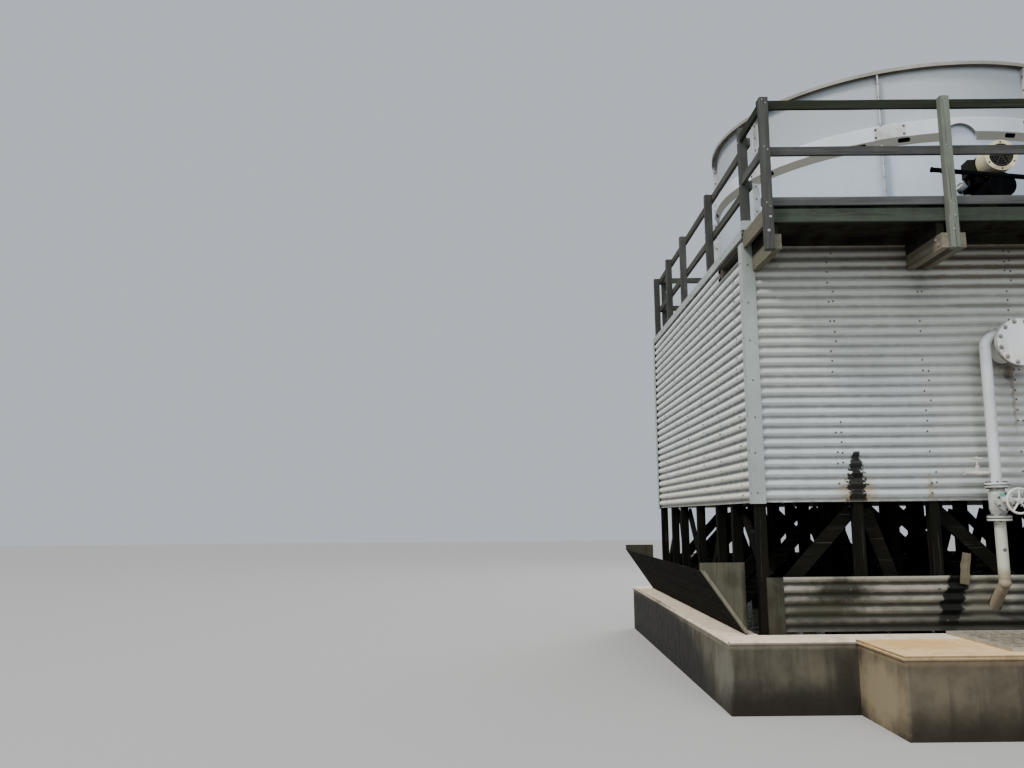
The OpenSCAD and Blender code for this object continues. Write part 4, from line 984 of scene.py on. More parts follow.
class Piece:
    """The faces of one new piece, and what it is dressed in, rides on and stands for."""

    def __init__(self, name: str) -> None:
        """Starts an empty piece.

        Args:
            name: The piece's name.
        """
        self.name = name
        self.mesh = bmesh.new()
        self.along = self.mesh.loops.layers.float_vector.new("along")
        self.tint = self.mesh.loops.layers.float.new("tint")

    def corners(self, points: Iterable[Sequence[float]]) -> list[Vert]:
        """Adds a corner at each point."""
        return [self.mesh.verts.new(point) for point in points]

    def face(self, corners: Sequence[Vert]) -> bmesh.types.BMFace:
        """Adds one face."""
        return self.mesh.faces.new(corners)

    def caps(self, rings: Sequence[list[Vert]]) -> list[bmesh.types.BMFace]:
        """Closes both ends of a form."""
        return [self.face(rings[0][::-1]), self.face(rings[-1])]

    def sleeve(self, rings: Sequence[list[Vert]]) -> list[bmesh.types.BMFace]:
        """Joins each ring of corners to the next."""
        return [self.face((first[i], first[j], second[j], second[i])) for first, second in zip(rings, rings[1:])
                for i, j in around(len(first))]

    def grained(self, rings: Sequence[list[Vert]], spots: dict[Vert, Vector], tint: float) -> None:
        """Closes a wooden form and writes its grain.

        Args:
            rings: Its corners, ring by ring.
            spots: Each corner's place in the grain.
            tint: The form's own tint.
        """
        for face in self.caps(rings) + self.sleeve(rings):
            for loop in face.loops:
                loop[self.along] = spots[loop.vert]
                loop[self.tint] = tint

    def board(self, low: Point, high: Point, axis: Axis, rng: random.Random, turn: Matrix | None = None,
              uneven: float = 0.0015, step: float = 0.45) -> None:
        """Adds a board or post with slightly uneven faces and its own grain.

        Args:
            low: Lowest corner.
            high: Highest corner.
            axis: The long axis.
            rng: Source of the unevenness.
            turn: Rotation and move applied last.
            uneven: Largest offset of a corner.
            step: Spacing of the stations along the board.
        """
        k = axis.value
        p, q = (k + 1) % 3, (k + 2) % 3
        count = max(1, round((high[k] - low[k]) / step))
        shift, tint = grain_start(rng)
        rings: list[list[Vert]] = []
        spots: dict[Vert, Vector] = {}
        for i in range(count + 1):
            share = i / count
            ring = []
            for a, b in ((0, 0), (1, 0), (1, 1), (0, 1)):
                spot = [0.0, 0.0, 0.0]
                spot[k] = low[k] + (high[k] - low[k]) * share
                spot[p] = (high if a else low)[p] + rng.uniform(-uneven, uneven) * 0.7
                spot[q] = (high if b else low)[q] + rng.uniform(-uneven, uneven) * 0.7
                ring += self.corners([turn @ Vector(spot) if turn else spot])
                spots[ring[-1]] = Vector((spot[k], spot[p], spot[q])) + shift
            rings.append(ring)
        self.grained(rings, spots, tint)

    def plate(self, turn: Matrix, xs: Span, outline: Sequence[Span], rng: random.Random) -> None:
        """Adds a flat plate with its grain upright.

        Args:
            turn: Rotation applied last.
            xs: X of its two faces.
            outline: Y and Z of its corners.
            rng: Source of its grain.
        """
        shift, tint = grain_start(rng)
        points = [[Vector((x, y, z)) for y, z in outline] for x in xs]
        rings = [self.corners(turn @ point for point in row) for row in points]
        spots = {v: Vector((p.z, p.x, p.y)) + shift for ring, row in zip(rings, points) for v, p in zip(ring, row)}
        self.grained(rings, spots, tint)

    def turned(self, at: Point, axis: Vector, profile: Sequence[Span], sides: int = 16, start: float = 0.0) -> None:
        """Adds a turned form: a profile of radius and height about an axis.

        Args:
            at: Origin of the axis.
            axis: Direction of the axis.
            profile: Radii and heights along the axis, from one end to the other.
            sides: Number of sides.
            start: Turn of the first corner, in degrees.
        """
        frame = tilt(axis)
        angles = [math.radians(start) + 2 * math.pi * i / sides for i in range(sides)]
        rings = [self.corners(Vector(at) + frame @ Vector((radius * math.cos(angle), radius * math.sin(angle), height))
                              for angle in angles) for radius, height in profile]
        self.sleeve(rings)
        self.caps(rings)

    def peg(self, at: Point, axis: Vector, radius: float, low: float, high: float, sides: int) -> None:
        """Adds a plain round peg between two heights on an axis."""
        self.turned(at, axis, ((radius, low), (radius, high)), sides)

    def ring(self, at: Point, axis: Vector, radius: float, thick: float, sides: int = 32) -> None:
        """Adds a round ring, such as a weld bead.

        Args:
            at: Its middle.
            axis: Direction of its axis.
            radius: Radius of its centre line.
            thick: Radius of its section.
            sides: Number of sides.
        """
        frame = tilt(axis)
        loops = []
        for x, y in circle(1.0, sides):
            spots = [Vector((x, y, 0)) * (radius + off) + Vector((0, 0, rise)) for off, rise in circle(thick, 8)]
            loops.append(self.corners(Vector(at) + frame @ spot for spot in spots))
        for i, j in around(sides):
            for first, second in around(len(loops[i])):
                self.face((loops[i][first], loops[j][first], loops[j][second], loops[i][second]))

    def bolt(self, at: Point, axis: Vector, size: float = 0.012, turn: float = 0.0) -> None:
        """Adds a washer with a hexagon head on it.

        Args:
            at: Centre of the washer's seat.
            axis: Direction in which the head stands out.
            size: Radius of the head.
            turn: Turn of the head, in degrees.
        """
        top = size * 0.22
        self.peg(at, axis, size * 1.5, -0.001, top, 12)
        self.turned(at, axis, ((size, top), (size, top + size * 0.65), (size * 0.8, top + size * 0.8)), 6, turn)

    def screw(self, at: Point, axis: Vector, size: float = 0.007) -> None:
        """Adds a small domed screw on its washer."""
        self.turned(at, axis, ((size * 1.6, -0.001), (size * 1.6, 0.0015), (size, 0.003), (size * 0.7, size * 0.9)), 8)

    def grid(self, points: Sequence[Sequence[Vector]]) -> None:
        """Adds a surface.

        Args:
            points: Its points, row by row.
        """
        rows = [self.corners(row) for row in points]
        for first, second in zip(rows, rows[1:]):
            for i in range(len(first) - 1):
                self.face((first[i], first[i + 1], second[i + 1], second[i]))

    def made(self) -> Object:
        """Turns the faces into an object.

        Returns:
            The object, bare; one that only cuts others is removed after that.
        """
        data = bpy.data.meshes.new(self.name)
        bmesh.ops.recalc_face_normals(self.mesh, faces=self.mesh.faces)
        self.mesh.to_mesh(data)
        self.mesh.free()
        return put(self.name, data)

    def place(self, finish: Finish, slot: str, body: str = "root", replaces: Iterable[str] = (), bevel: float = 0.0,
              smooth: float | None = None, cut: Object | None = None) -> Object:
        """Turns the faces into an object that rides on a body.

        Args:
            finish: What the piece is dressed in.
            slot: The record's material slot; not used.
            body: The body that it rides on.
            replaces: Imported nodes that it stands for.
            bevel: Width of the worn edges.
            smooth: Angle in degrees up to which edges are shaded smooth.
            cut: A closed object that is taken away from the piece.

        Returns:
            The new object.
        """
        piece = self.made()
        piece.data.materials.append(finish.material())
        if cut:
            hole = piece.modifiers.new("hole", "BOOLEAN")
            hole.object, hole.solver = cut, "EXACT"
            bpy.context.view_layer.update()
            graph = bpy.context.evaluated_depsgraph_get()
            result = bpy.data.meshes.new_from_object(piece.evaluated_get(graph))
            piece.modifiers.clear()
            piece.data = result
        if bevel:
            round_edges(piece, bevel)
        if smooth is not None:
            piece.data.shade_smooth()
            piece.data.set_sharp_from_angle(angle=math.radians(smooth))
        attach(piece, body)
        if replaces:
            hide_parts(*replaces)
        LOG.info("%s: %d faces", self.name, len(piece.data.polygons))
        return piece


def round_edges(piece: Object, width: float) -> None:
    """Adds a bevel to a piece's sharp edges.

    Args:
        piece: The piece.
        width: Width of the bevel.
    """
    bevel = piece.modifiers.new("worn_edges", "BEVEL")
    bevel.width, bevel.segments = width, 2
    bevel.limit_method, bevel.angle_limit = "ANGLE", math.radians(50)


@dataclass
class SubAssembly:
    """What every sub-assembly has: a seed, and the random source that it starts."""

    seed: int
    rng: random.Random = field(init=False)

    def __post_init__(self) -> None:
        """Starts the random source."""
        self.rng = random.Random(self.seed)

    def build(self) -> None:
        """Builds and dresses the pieces; each sub-assembly has its own."""
        raise NotImplementedError

    def boards(self, name: str, finish: Finish, slot: str, node: str | None, bevel: float, axis: Axis,
               boxes: Iterable[tuple[Point, Point]], uneven: Sequence[float] = (0.0015,)) -> None:
        """Builds a piece of several boards.

        Args:
            name: The piece's name.
            finish: What it is dressed in.
            slot: The record's material slot.
            node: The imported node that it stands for, if any.
            bevel: Width of the worn edges.
            axis: Long axis of the boards.
            boxes: Lowest and highest corner of each board.
            uneven: Largest offset of a corner, board by board; the last holds for the rest.
        """
        piece = Piece(name)
        for i, (low, high) in enumerate(boxes):
            piece.board(low, high, axis, self.rng, uneven=uneven[min(i, len(uneven) - 1)])
        piece.place(finish, slot, replaces=[node] if node else (), bevel=bevel)


@dataclass
class Casing(SubAssembly):
    """Corrugated sheets of the four sides and the skirts, lapped and screwed, with the torn gap on the left."""

    cover: float = 0.952
    lap: float = 0.063
    first_lap: float = -2.1255
    shortest: float = 0.3
    inset: float = 0.002
    columns: int = 5
    steps: int = 12
    stand_back: float = 0.0015
    thick: float = 0.0025
    waver: float = 0.0012
    lift: float = 0.0012
    drop: float = 0.006
    under_deck: float = 0.0315
    nail: float = 0.0065
    nail_edge: float = 0.005
    nail_waver: float = 0.006
    nails_missing: Span = (0.7, 0.45)
    tear_lap: float = 0.012
    tear_ragged: float = 0.014
    skirt_inset: float = 0.268
    skirt_rise: float = 0.025
    skirt_drop: float = 0.008
    end_board: float = 0.168

    def wave(self, z: float) -> float:
        """Depth of the corrugation behind its ridges at a height."""
        return SIZES.depth / 2 * (1 - math.cos(2 * math.pi * (z - SIZES.ridge) / SIZES.pitch))

    def sheet(self, piece: Piece, side: Side, ends: Span, low: float, high: float, lift: float = 0.0,
              ragged: float = 0.0) -> None:
        """Adds one sheet as a thin shell.

        Args:
            piece: The piece to add to.
            side: The side it hangs on.
            ends: Its left and right end along the side.
            low: Its lower edge.
            high: Its upper edge.
            lift: Distance by which its right end stands out over the next sheet.
            ragged: Unevenness of its lower edge, where it is torn.
        """
        turn, last = side.turned(), self.columns - 1
        count = max(1, round((high - low) / (SIZES.pitch / self.steps)))
        waver = [self.rng.uniform(-self.waver, self.waver) for _ in range(self.columns)]
        tear = [self.rng.uniform(0, ragged) for _ in range(self.columns)]
        rows = []
        for k in range(count + 1):
            rows.append([])
            for i in range(self.columns):
                x = ends[0] + (ends[1] - ends[0]) * (i / last)
                z = low + (high - low) * k / count + (0.0 if k else tear[i])
                depth = self.wave(z) + waver[i] + self.stand_back - (lift if i == last else 0.0)
                rows[-1].append((x, -SIZES.half + depth, z))
        self.shell(piece, [[[turn @ Vector((x, y + back, z)) for x, y, z in row] for row in rows]
                           for back in (0.0, self.thick)])

    def shell(self, piece: Piece, surfaces: Iterable[list[list[Vector]]]) -> None:
        """Adds two surfaces closed along their rims.

        Args:
            piece: The piece to add to.
            surfaces: Points of the outer and the inner surface, row by row.
        """
        outer, inner = ([piece.corners(row) for row in rows] for rows in surfaces)
        rim, last = len(outer) - 1, len(outer[0]) - 1
        for k in range(rim):
            for i in range(last):
                piece.face((outer[k][i], outer[k][i + 1], outer[k + 1][i + 1], outer[k + 1][i]))
                piece.face((inner[k][i], inner[k + 1][i], inner[k + 1][i + 1], inner[k][i + 1]))
            piece.face((outer[k][0], outer[k + 1][0], inner[k + 1][0], inner[k][0]))
            piece.face((outer[k][last], inner[k][last], inner[k + 1][last], outer[k + 1][last]))
        for i in range(last):
            piece.face((outer[0][i], inner[0][i], inner[0][i + 1], outer[0][i + 1]))
            piece.face((outer[rim][i], outer[rim][i + 1], inner[rim][i + 1], inner[rim][i]))

    def edges(self, reach: float) -> list[Span]:
        """Spreads the sheets of a side, each lapped over the next.

        Args:
            reach: Half the length of the side.

        Returns:
            The left and right end of each sheet.
        """
        spots = [-reach]
        edge = self.first_lap
        while edge < reach - self.shortest:
            spots.append(edge)
            edge += self.cover
        spots.append(reach)
        half = self.lap / 2
        return [(a - (half if i else 0), b + (half if b < reach else 0))
                for i, (a, b) in enumerate(zip(spots, spots[1:]))]

    def screws(self, side: Side, reach: float, heights: Span, name: str, slot: str) -> None:
        """Adds the screws beside each lap; some are missing.

        Args:
            side: The side they are in.
            reach: Half the length of the sheets.
            heights: Lower and upper edge of the sheets.
            name: The piece's name.
            slot: The record's material slot.
        """
        piece = Piece(name)
        turn, axis = side.turned(), side.outward()
        lines = [end + off for _, end in self.edges(reach)[:-1] for off in (-self.nail_edge, self.nail_edge - self.lap)]
        first = math.ceil((heights[0] + 0.02 - SIZES.ridge) / SIZES.pitch)
        last = math.floor((heights[1] - 0.03 - SIZES.ridge) / SIZES.pitch)
        for j, x in enumerate(lines):
            for n in range(first, last + 1):
                if self.rng.random() < self.nails_missing[j % 2]:
                    continue
                z = SIZES.ridge + n * SIZES.pitch + self.rng.uniform(-self.nail_waver, self.nail_waver)
                off = self.rng.uniform(-self.nail_waver, self.nail_waver)
                piece.screw(turn @ Vector((x + off, -SIZES.half + self.wave(z), z)), axis, self.nail)
        piece.place(Finishes.DARK_BOLT, slot)

    def hang(self, piece: Piece, finish: Finish, slot: str, node: str, cut: Object | None = None) -> None:
        """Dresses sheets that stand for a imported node."""
        piece.place(finish, slot, replaces=[node], smooth=50, cut=cut)

    def build(self) -> None:
        """Builds the sheets of all four sides and of the skirts."""
        s = SIZES
        self.build_front()
        for side, name, finish, reach in ((Side.BACK, "back", Finishes.BACK_SHEET, s.sill - self.inset),
                                          (Side.RIGHT, "right", Finishes.RIGHT_SHEET, s.half - self.inset)):
            sheets, slot = Piece(f"{name}_sheets"), f"casing_{name}"
            for ends in self.edges(reach):
                self.sheet(sheets, side, ends, s.casing_low, s.casing_top)
            self.hang(sheets, finish, slot, slot)
            self.screws(side, reach, (s.casing_low, s.casing_top), f"{name}_screws", slot)
        self.build_left()
        self.build_skirts()

    def build_front(self) -> None:
        """Builds the front's sheets, with the header's hole."""
        s = SIZES
        hole = Piece("header_cutter")
        hole.peg((s.header_x, -s.half - 0.05, s.header_z), -FRONT, s.header_r + 0.012, 0.0, 0.15, 48)
        cutter = hole.made()
        high, reach, slot = s.planks_low - self.under_deck, s.sill - self.inset, "casing_front"
        front = Piece("front_sheets")
        for i, (a, b) in enumerate(self.edges(reach)):
            holed = a < s.header_x + s.header_r and b > s.header_x - s.header_r
            piece = Piece(f"front_sheet_at_header_{i}") if holed else front
            low = s.casing_low + self.rng.uniform(0, self.drop)
            self.sheet(piece, Side.FRONT, (a, b), low, high, self.lift * (i % 2))
            if holed:
                self.hang(piece, Finishes.FRONT_SHEET, slot, slot, cutter)
        self.hang(front, Finishes.FRONT_SHEET, slot, slot)
        self.screws(Side.FRONT, reach, (s.casing_low, high), "front_screws", slot)
        bpy.data.objects.remove(cutter)

    def build_left(self) -> None:
        """Builds the left side's sheets around the torn gap."""
        s = SIZES
        left, reach, slot = Piece("left_sheets"), s.half - self.inset, "casing_left"
        for ends in self.edges(reach):
            self.sheet(left, Side.LEFT, ends, s.casing_low + self.rng.uniform(0, self.drop), s.tear_low)
        for a, b in self.edges(reach):
            end = min(b, s.tear_far)
            if end > a:
                self.sheet(left, Side.LEFT, (a, end), s.tear_low, s.casing_top)
        self.sheet(left, Side.LEFT, (s.tear_far, s.tear_near), s.tear_high - self.tear_lap, s.casing_top,
                   ragged=self.tear_ragged)
        self.sheet(left, Side.LEFT, (s.tear_near, reach), s.tear_low, s.casing_top)
        self.hang(left, Finishes.LEFT_SHEET, slot, slot)
        self.screws(Side.LEFT, reach, (s.casing_low, s.tear_low), "left_screws", slot)

    def build_skirts(self) -> None:
        """Builds the skirts' sheets, their end boards and screws."""
        s = SIZES
        low, high, reach = s.basin_top + self.skirt_rise, s.skirt_top, s.half - self.skirt_inset
        tail = Piece("tail_cutter")
        tail.peg((s.bypass_x, s.bypass_y, s.elbow_z), Vector((0, 0.242, -0.245)).normalized(), 0.064, 0.0, 0.345, 32)
        cutter = tail.made()
        skirt = Piece("skirt_sheets")
        for side in (Side.FRONT, Side.BACK):
            for a, b in self.edges(reach):
                holed = side is Side.FRONT and a < s.bypass_x < b
                piece = Piece("skirt_sheet_at_pipe") if holed else skirt
                self.sheet(piece, side, (a, b), low, high - self.rng.uniform(0, self.skirt_drop))
                if holed:
                    self.hang(piece, Finishes.SKIRT, "skirt", "skirts", cutter)
        self.hang(skirt, Finishes.SKIRT, "skirt", "skirts")
        bpy.data.objects.remove(cutter)
        boards = Piece("skirt_end_boards")
        for side in (Side.FRONT, Side.BACK):
            for sign in (-1, 1):
                x0, x1 = sorted((sign * (reach + SEAM), sign * (reach + self.end_board)))
                boards.board((x0, -s.half - 0.002, s.basin_top), (x1, -s.half + s.skin, high - self.skirt_drop), Axis.Z,
                             self.rng, side.turned())
        boards.place(Finishes.END_BOARD, "skirt", replaces=["skirts"], bevel=0.003)
        self.screws(Side.FRONT, reach, (low, high), "skirt_screws", "skirt")


@dataclass
class Trims(SubAssembly):
    """Screws of the corner angles and of the strips along the casing's top."""

    size: float = 0.006
    from_edge: float = 0.045
    angle_step: float = 0.40
    strip_step: float = 0.61

    def build(self) -> None:
        """Adds two lines of screws to each corner angle and one along each strip."""
        s = SIZES
        piece = Piece("trim_screws")
        for side in Side:
            turn, axis = side.turned(), side.outward()
            for sign in (-1, 1):
                z = s.casing_low + 0.10
                while z < s.deck_top - 0.15:
                    x = sign * (s.half - self.from_edge + self.rng.uniform(-0.012, 0.012))
                    piece.screw(turn @ Vector((x, -s.trim, z)), axis, self.size)
                    z += self.angle_step + self.rng.uniform(-0.04, 0.04)
            if side is not Side.FRONT:
                x = -s.half + 0.3
                while x < s.half - 0.2:
                    piece.screw(turn @ Vector((x, -s.trim, s.casing_top - 0.04)), axis, self.size)
                    x += self.strip_step
        piece.place(Finishes.DARK_BOLT, "trim")


@dataclass
class Walkway(SubAssembly):
    """Planks, fascia, toe board, end boards, outriggers and joists of the front walkway."""

    plank_joints: Span = (-0.62, 1.21)
    plank_seam: float = 0.005
    fascia_rise: float = 0.032
    fascia_high: float = 0.134
    fascia_joint: float = 0.9
    toe_rise: float = 0.155
    toe_high: float = 0.086
    end_high: float = 0.142
    end_rise: float = 0.025
    shade_cleat: Span = (0.036, 0.110)
    thick: float = 0.076
    joist_high: float = 0.202
    beam_high: float = 0.152
    ledger_low: float = 4.738
    ledger_thick: float = 0.042

    @property
    def inner(self) -> float:
        """Y of the posts' back."""
        return -SIZES.walk_y + SIZES.post

    @property
    def back(self) -> float:
        """Y of the fascia's back."""
        return self.inner + SIZES.rail_t

    def planks(self) -> Iterator[tuple[Point, Point]]:
        """Spreads the planks from the fascia to the wall.

        Yields:
            The box of each plank, with its own wear.
        """
        s = SIZES
        reach, (left, right) = s.walk_half - 0.039, self.plank_joints
        y = self.back + 0.001
        while y < -s.trim - 0.02:
            stop = min(y + s.plank_width, -s.trim - 0.001)
            for x0, x1 in ((-reach, left), (left + self.plank_seam, right), (right + self.plank_seam, reach)):
                yield (x0, y, s.planks_low), (x1, stop, s.deck_top - self.rng.uniform(0, 0.002))
            y = stop + s.plank_gap

    def long_board(self, name: str, finish: Finish, ends: tuple[Span, Span], heights: Span) -> None:
        """Builds a board of two lengths along the walkway's front; the first is the more uneven one."""
        boxes = [((x0, self.inner, heights[0]), (x1, self.back, heights[1])) for x0, x1 in ends]
        self.boards(name, finish, "walkway_wood", "walkway_deck", 0.003, Axis.X, boxes, (0.002, 0.0015))

    def build(self) -> None:
        """Builds every board of the walkway and the bolts that hold its posts."""
        s = SIZES
        reach, deck = s.walk_half, s.deck_top
        wood, node = "walkway_wood", "walkway_deck"
        # The walkway's planks are dressed in painted shade.
        self.boards("walkway_planks", Finishes.SHADED_PLANK, wood, node, 0.003, Axis.X, self.planks())
        # A near-black board behind the gap between the toe board and the fascia paints the shade there.
        deep, high = self.shade_cleat
        self.boards("toe_board_shade_cleat", Finishes.SHADE_CLEAT, wood, None, 0.002, Axis.X,
                    [((-reach + 0.045, self.back + 0.001, deck), (reach - 0.045, self.back + deep, deck + high))])
        top, joint = deck + self.fascia_rise, self.fascia_joint
        self.long_board("walkway_fascia", Finishes.FASCIA, ((-reach + 0.038, joint), (joint + SEAM, reach - 0.038)),
                        (top - self.fascia_high, top))
        top, joint = deck + self.toe_rise, s.inner_post
        self.long_board("walkway_toe_board", Finishes.TOE, ((-reach, joint), (joint + SEAM, reach)),
                        (top - self.toe_high, top))
        ends = [sorted((sign * reach, sign * (reach - 0.038))) for sign in (-1, 1)]
        self.boards("walkway_end_boards", Finishes.OUTRIGGER, wood, node, 0.003, Axis.Y, [
            ((x0, self.inner, deck - self.end_high), (x1, -s.trim, deck + self.end_rise)) for x0, x1 in ends])
        self.build_outriggers()

    def build_outriggers(self) -> None:
        """Builds the outriggers and joists, the ledger between them, and their bolts."""
        s = SIZES
        wall, under, half = -s.trim, s.planks_low, self.thick / 2
        joist_low = under - self.joist_high
        low = joist_low - self.beam_high
        off = (s.post + self.thick) / 2 + 0.0003
        spots = [-s.corner_post + off, -s.inner_post - off, -s.inner_post + off]
        spots += [-x for x in spots]
        beams, joists = Piece("walkway_outrigger_boards"), Piece("walkway_joists")
        for x in spots:
            beams.board((x - half, -s.walk_y + 0.040, low), (x + half, wall, joist_low), Axis.Y, self.rng)
            joists.board((x - half, self.back + 0.001, joist_low), (x + half, wall, under), Axis.Y, self.rng)
        stops = sorted([x + end for x in spots for end in (-half, half)] + [0.04 - s.walk_half, s.walk_half - 0.04])
        # The ledger and the joists are dressed in painted shade.
        self.boards("walkway_ledger", Finishes.SHADED_JOIST, "timber_outrigger", None, 0.003, Axis.X, [
            ((x0 + 0.001, wall - self.ledger_thick, self.ledger_low), (x1 - 0.001, wall, under))
            for x0, x1 in zip(stops[2::2], stops[3::2]) if x1 - x0 > 0.2])
        for piece, finish in ((beams, Finishes.OUTRIGGER), (joists, Finishes.SHADED_JOIST)):
            piece.place(finish, "timber_outrigger", replaces=["walkway_outriggers"], bevel=0.004)
        bolts = Piece("walkway_bolts")
        for x in (-s.corner_post, -s.inner_post, s.inner_post, s.corner_post):
            for dx, z in ((0.012, s.deck_top - 0.075), (-0.010, s.deck_top - 0.215)):
                bolts.bolt((x + dx, -s.walk_y, z), FRONT, 0.009, self.rng.uniform(0, 60))
            for z in (s.rail_top - 0.03, s.rail_top - s.mid_drop - 0.03, s.deck_top + 0.07):
                bolts.screw((x - 0.015, -s.walk_y, z), FRONT, 0.004)
                bolts.screw((x + 0.018, -s.walk_y, z - 0.035), FRONT, 0.004)
        for x in spots:
            for sign in (-1, 1):
                for y, z in ((-s.walk_y + 0.11, low + 0.05), (-s.walk_y + 0.16, low + 0.11)):
                    bolts.bolt((x + sign * half, y, z), RIGHT * sign, 0.011)
        bolts.place(Finishes.BOLT, "timber_outrigger")


@dataclass
class Handrails(SubAssembly):
    """Posts, rails and sills of the four handrails."""

    first_rise: float = 0.120
    front_low: float = 0.400
    sill_low: float = 0.069
    sill_joint: float = 0.35
    post_uneven: float = 0.002
    rail_uneven: float = 0.0025
    back_posts: int = 4

    def build(self) -> None:
        """Builds the front, side and back handrails."""
        self.build_front()
        self.build_side(-1, "left")
        self.build_side(1, "right")
        self.build_back()

    def heights(self, top: float) -> tuple[Span, Span]:
        """Lower and upper edge of the top rail and of the middle rail."""
        return (top - SIZES.rail_w, top), (top - SIZES.mid_drop - SIZES.rail_w, top - SIZES.mid_drop)

    def build_front(self) -> None:
        """Builds the walkway's posts and rails, each sort with its own weathering."""
        s = SIZES
        low, back, half, reach = s.deck_top - self.front_low, -s.walk_y + s.post, s.post / 2, s.walk_half
        slot, node = "rail_front", "handrail_front"
        for name, spot, finish in (("front_mid_posts", s.inner_post, Finishes.MID_POST),
                                   ("front_corner_posts", s.corner_post, Finishes.POST)):
            self.boards(name, finish, slot, node, 0.005, Axis.Z, [
                ((x - half, -s.walk_y, low), (x + half, back, s.rail_top)) for x in (-spot, spot)], (self.post_uneven,))
        for name, (z0, z1), finish in zip(("front_top_rail", "front_mid_rail"), self.heights(s.rail_top),
                                          (Finishes.TOP_RAIL, Finishes.MID_RAIL)):
            rail = Piece(name)
            rail.board((-reach, back, z0), (s.inner_post, back + s.rail_t, z1), Axis.X, self.rng,
                       uneven=self.rail_uneven)
            rail.board((s.inner_post + SEAM, back, z0), (reach, back + s.rail_t, z1), Axis.X, self.rng)
            for x in (-s.corner_post, s.corner_post):
                rail.board((x - s.rail_t / 2, back + s.rail_t, z0), (x + s.rail_t / 2, -s.sill, z1), Axis.Y, self.rng)
            rail.place(finish, slot, replaces=[node], bevel=0.004)

    def build_side(self, sign: int, name: str) -> None:
        """Builds one side's sill, posts, rails and bolts.

        Args:
            sign: -1 for the left side, 1 for the right.
            name: The side's name.
        """
        s = SIZES
        first, half = -s.sill + s.post / 2, s.post / 2
        second = first + s.side_bay
        third = first + 2 * s.side_bay
        spots = (first, second, third, -first - (-first - third) / 2, -first)
        outer, inner = sign * s.sill, sign * (s.sill - s.post)
        x0, x1 = sorted((outer, inner))
        r0, r1 = sorted((inner, inner - sign * s.rail_t))
        slot, node, low = "rail_weathered", f"handrail_{name}", s.deck_top - self.sill_low
        self.boards(f"{name}_rail_posts", Finishes.POST, slot, node, 0.005, Axis.Z, [
            ((x0, y - half, s.sill_top), (x1, y + half, s.side_rail_top + (self.first_rise if y == first else 0.0)))
            for y in spots], (self.post_uneven,))
        self.boards(f"{name}_rails", Finishes.SIDE_RAIL, slot, node, 0.004, Axis.Y, [
            ((r0, y0, z0), (r1, y1, z1)) for z0, z1 in self.heights(s.side_rail_top)
            for y0, y1 in ((-s.sill, second), (second + SEAM, s.sill))], (self.rail_uneven,))
        self.boards(f"{name}_sill", Finishes.OUTRIGGER, slot, node, 0.004, Axis.Y, [
            ((x0, y0, low), (x1, y1, s.sill_top))
            for y0, y1 in ((-s.trim, self.sill_joint), (self.sill_joint + SEAM, s.sill))])
        bolts = Piece(f"{name}_sill_bolts")
        for dx in (-0.018, 0.016):
            bolts.bolt(((outer + inner) / 2 + dx, -s.trim, s.deck_top - 0.002), FRONT, 0.010)
        for y in spots:
            for z in (s.side_rail_top - 0.045, s.side_rail_top - s.mid_drop - 0.045, s.sill_top + 0.08):
                bolts.bolt((outer, y, z), RIGHT * sign, 0.009)
        bolts.place(Finishes.BOLT, slot)

    def build_back(self) -> None:
        """Builds the back's posts, rails and sill."""
        s = SIZES
        inner, half, slot, node = s.sill - s.post, s.post / 2, "rail_weathered", "handrail_back"
        end = inner - s.rail_t - 0.002
        spot = end - half
        posts = [-spot + i * spot * 2 / (self.back_posts - 1) for i in range(self.back_posts)]
        self.boards("back_rail_posts", Finishes.POST, slot, node, 0.005, Axis.Z, [
            ((x - half, inner, s.sill_top), (x + half, s.sill, s.side_rail_top)) for x in posts])
        self.boards("back_rails", Finishes.SIDE_RAIL, slot, node, 0.004, Axis.X, [
            ((-end, inner - s.rail_t, z0), (end, inner, z1)) for z0, z1 in self.heights(s.side_rail_top)],
            (self.rail_uneven,))
        self.boards("back_sill", Finishes.OUTRIGGER, slot, node, 0.004, Axis.X, [
            ((-inner, inner, s.planks_low), (inner, s.sill, s.sill_top))])


@dataclass
class FanDeck(SubAssembly):
    """Planks of the fan deck, cut back to the round hole."""

    wear: float = 0.002
    clear: float = 0.004

    def build(self) -> None:
        """Builds planks from left to right, each whole or ending at the hole's edge."""
        s = SIZES
        planks = Piece("deck_planks")
        reach = s.sill - s.post - 0.001
        front, back, low = -s.sill, reach, s.planks_low
        x = -reach
        while x < reach - 0.02:
            stop = min(x + s.plank_width, reach)
            top = s.deck_top - self.rng.uniform(0, self.wear)
            near = [self.chord(edge - s.stack_x) for edge in (x, stop)]
            if max(near) <= 0:
                joint = self.rng.uniform(-1.0, 1.0)
                planks.board((x, front, low), (stop, joint, top), Axis.Y, self.rng)
                planks.board((x, joint + SEAM, low), (stop, back, top), Axis.Y, self.rng)
            else:
                for end in (front, back):
                    self.cut_plank(planks, (x, stop), end, near, (low, top))
            x = stop + s.plank_gap
        planks.place(Finishes.PLANK, "deck", replaces=["fan_deck"], bevel=0.003)

    def chord(self, off: float) -> float:
        """Half the hole's length along Y at a distance from its middle, 0 outside it."""
        r = SIZES.hole_r
        return math.sqrt(r * r - off * off) if abs(off) < r else 0.0

    def cut_plank(self, planks: Piece, xs: Span, end: float, near: Sequence[float], zs: Span) -> None:
        """Adds a plank from one end to the hole, with an end cut on the slant.

        Args:
            planks: The piece to add to.
            xs: Its two edges.
            end: Its square end.
            near: How far from the middle each edge meets the hole.
            zs: Its underside and top.
        """
        cut = [math.copysign(reach + self.clear, end) for reach in near]
        shift, tint = grain_start(self.rng)
        corners = ((xs[0], end), (xs[1], end), (xs[1], cut[1]), (xs[0], cut[0]))
        rings = [planks.corners((x, y, z) for x, y in corners) for z in zs]
        spots = {v: Vector((v.co.y, v.co.x, v.co.z)) + shift for ring in rings for v in ring}
        planks.grained(rings, spots, tint)


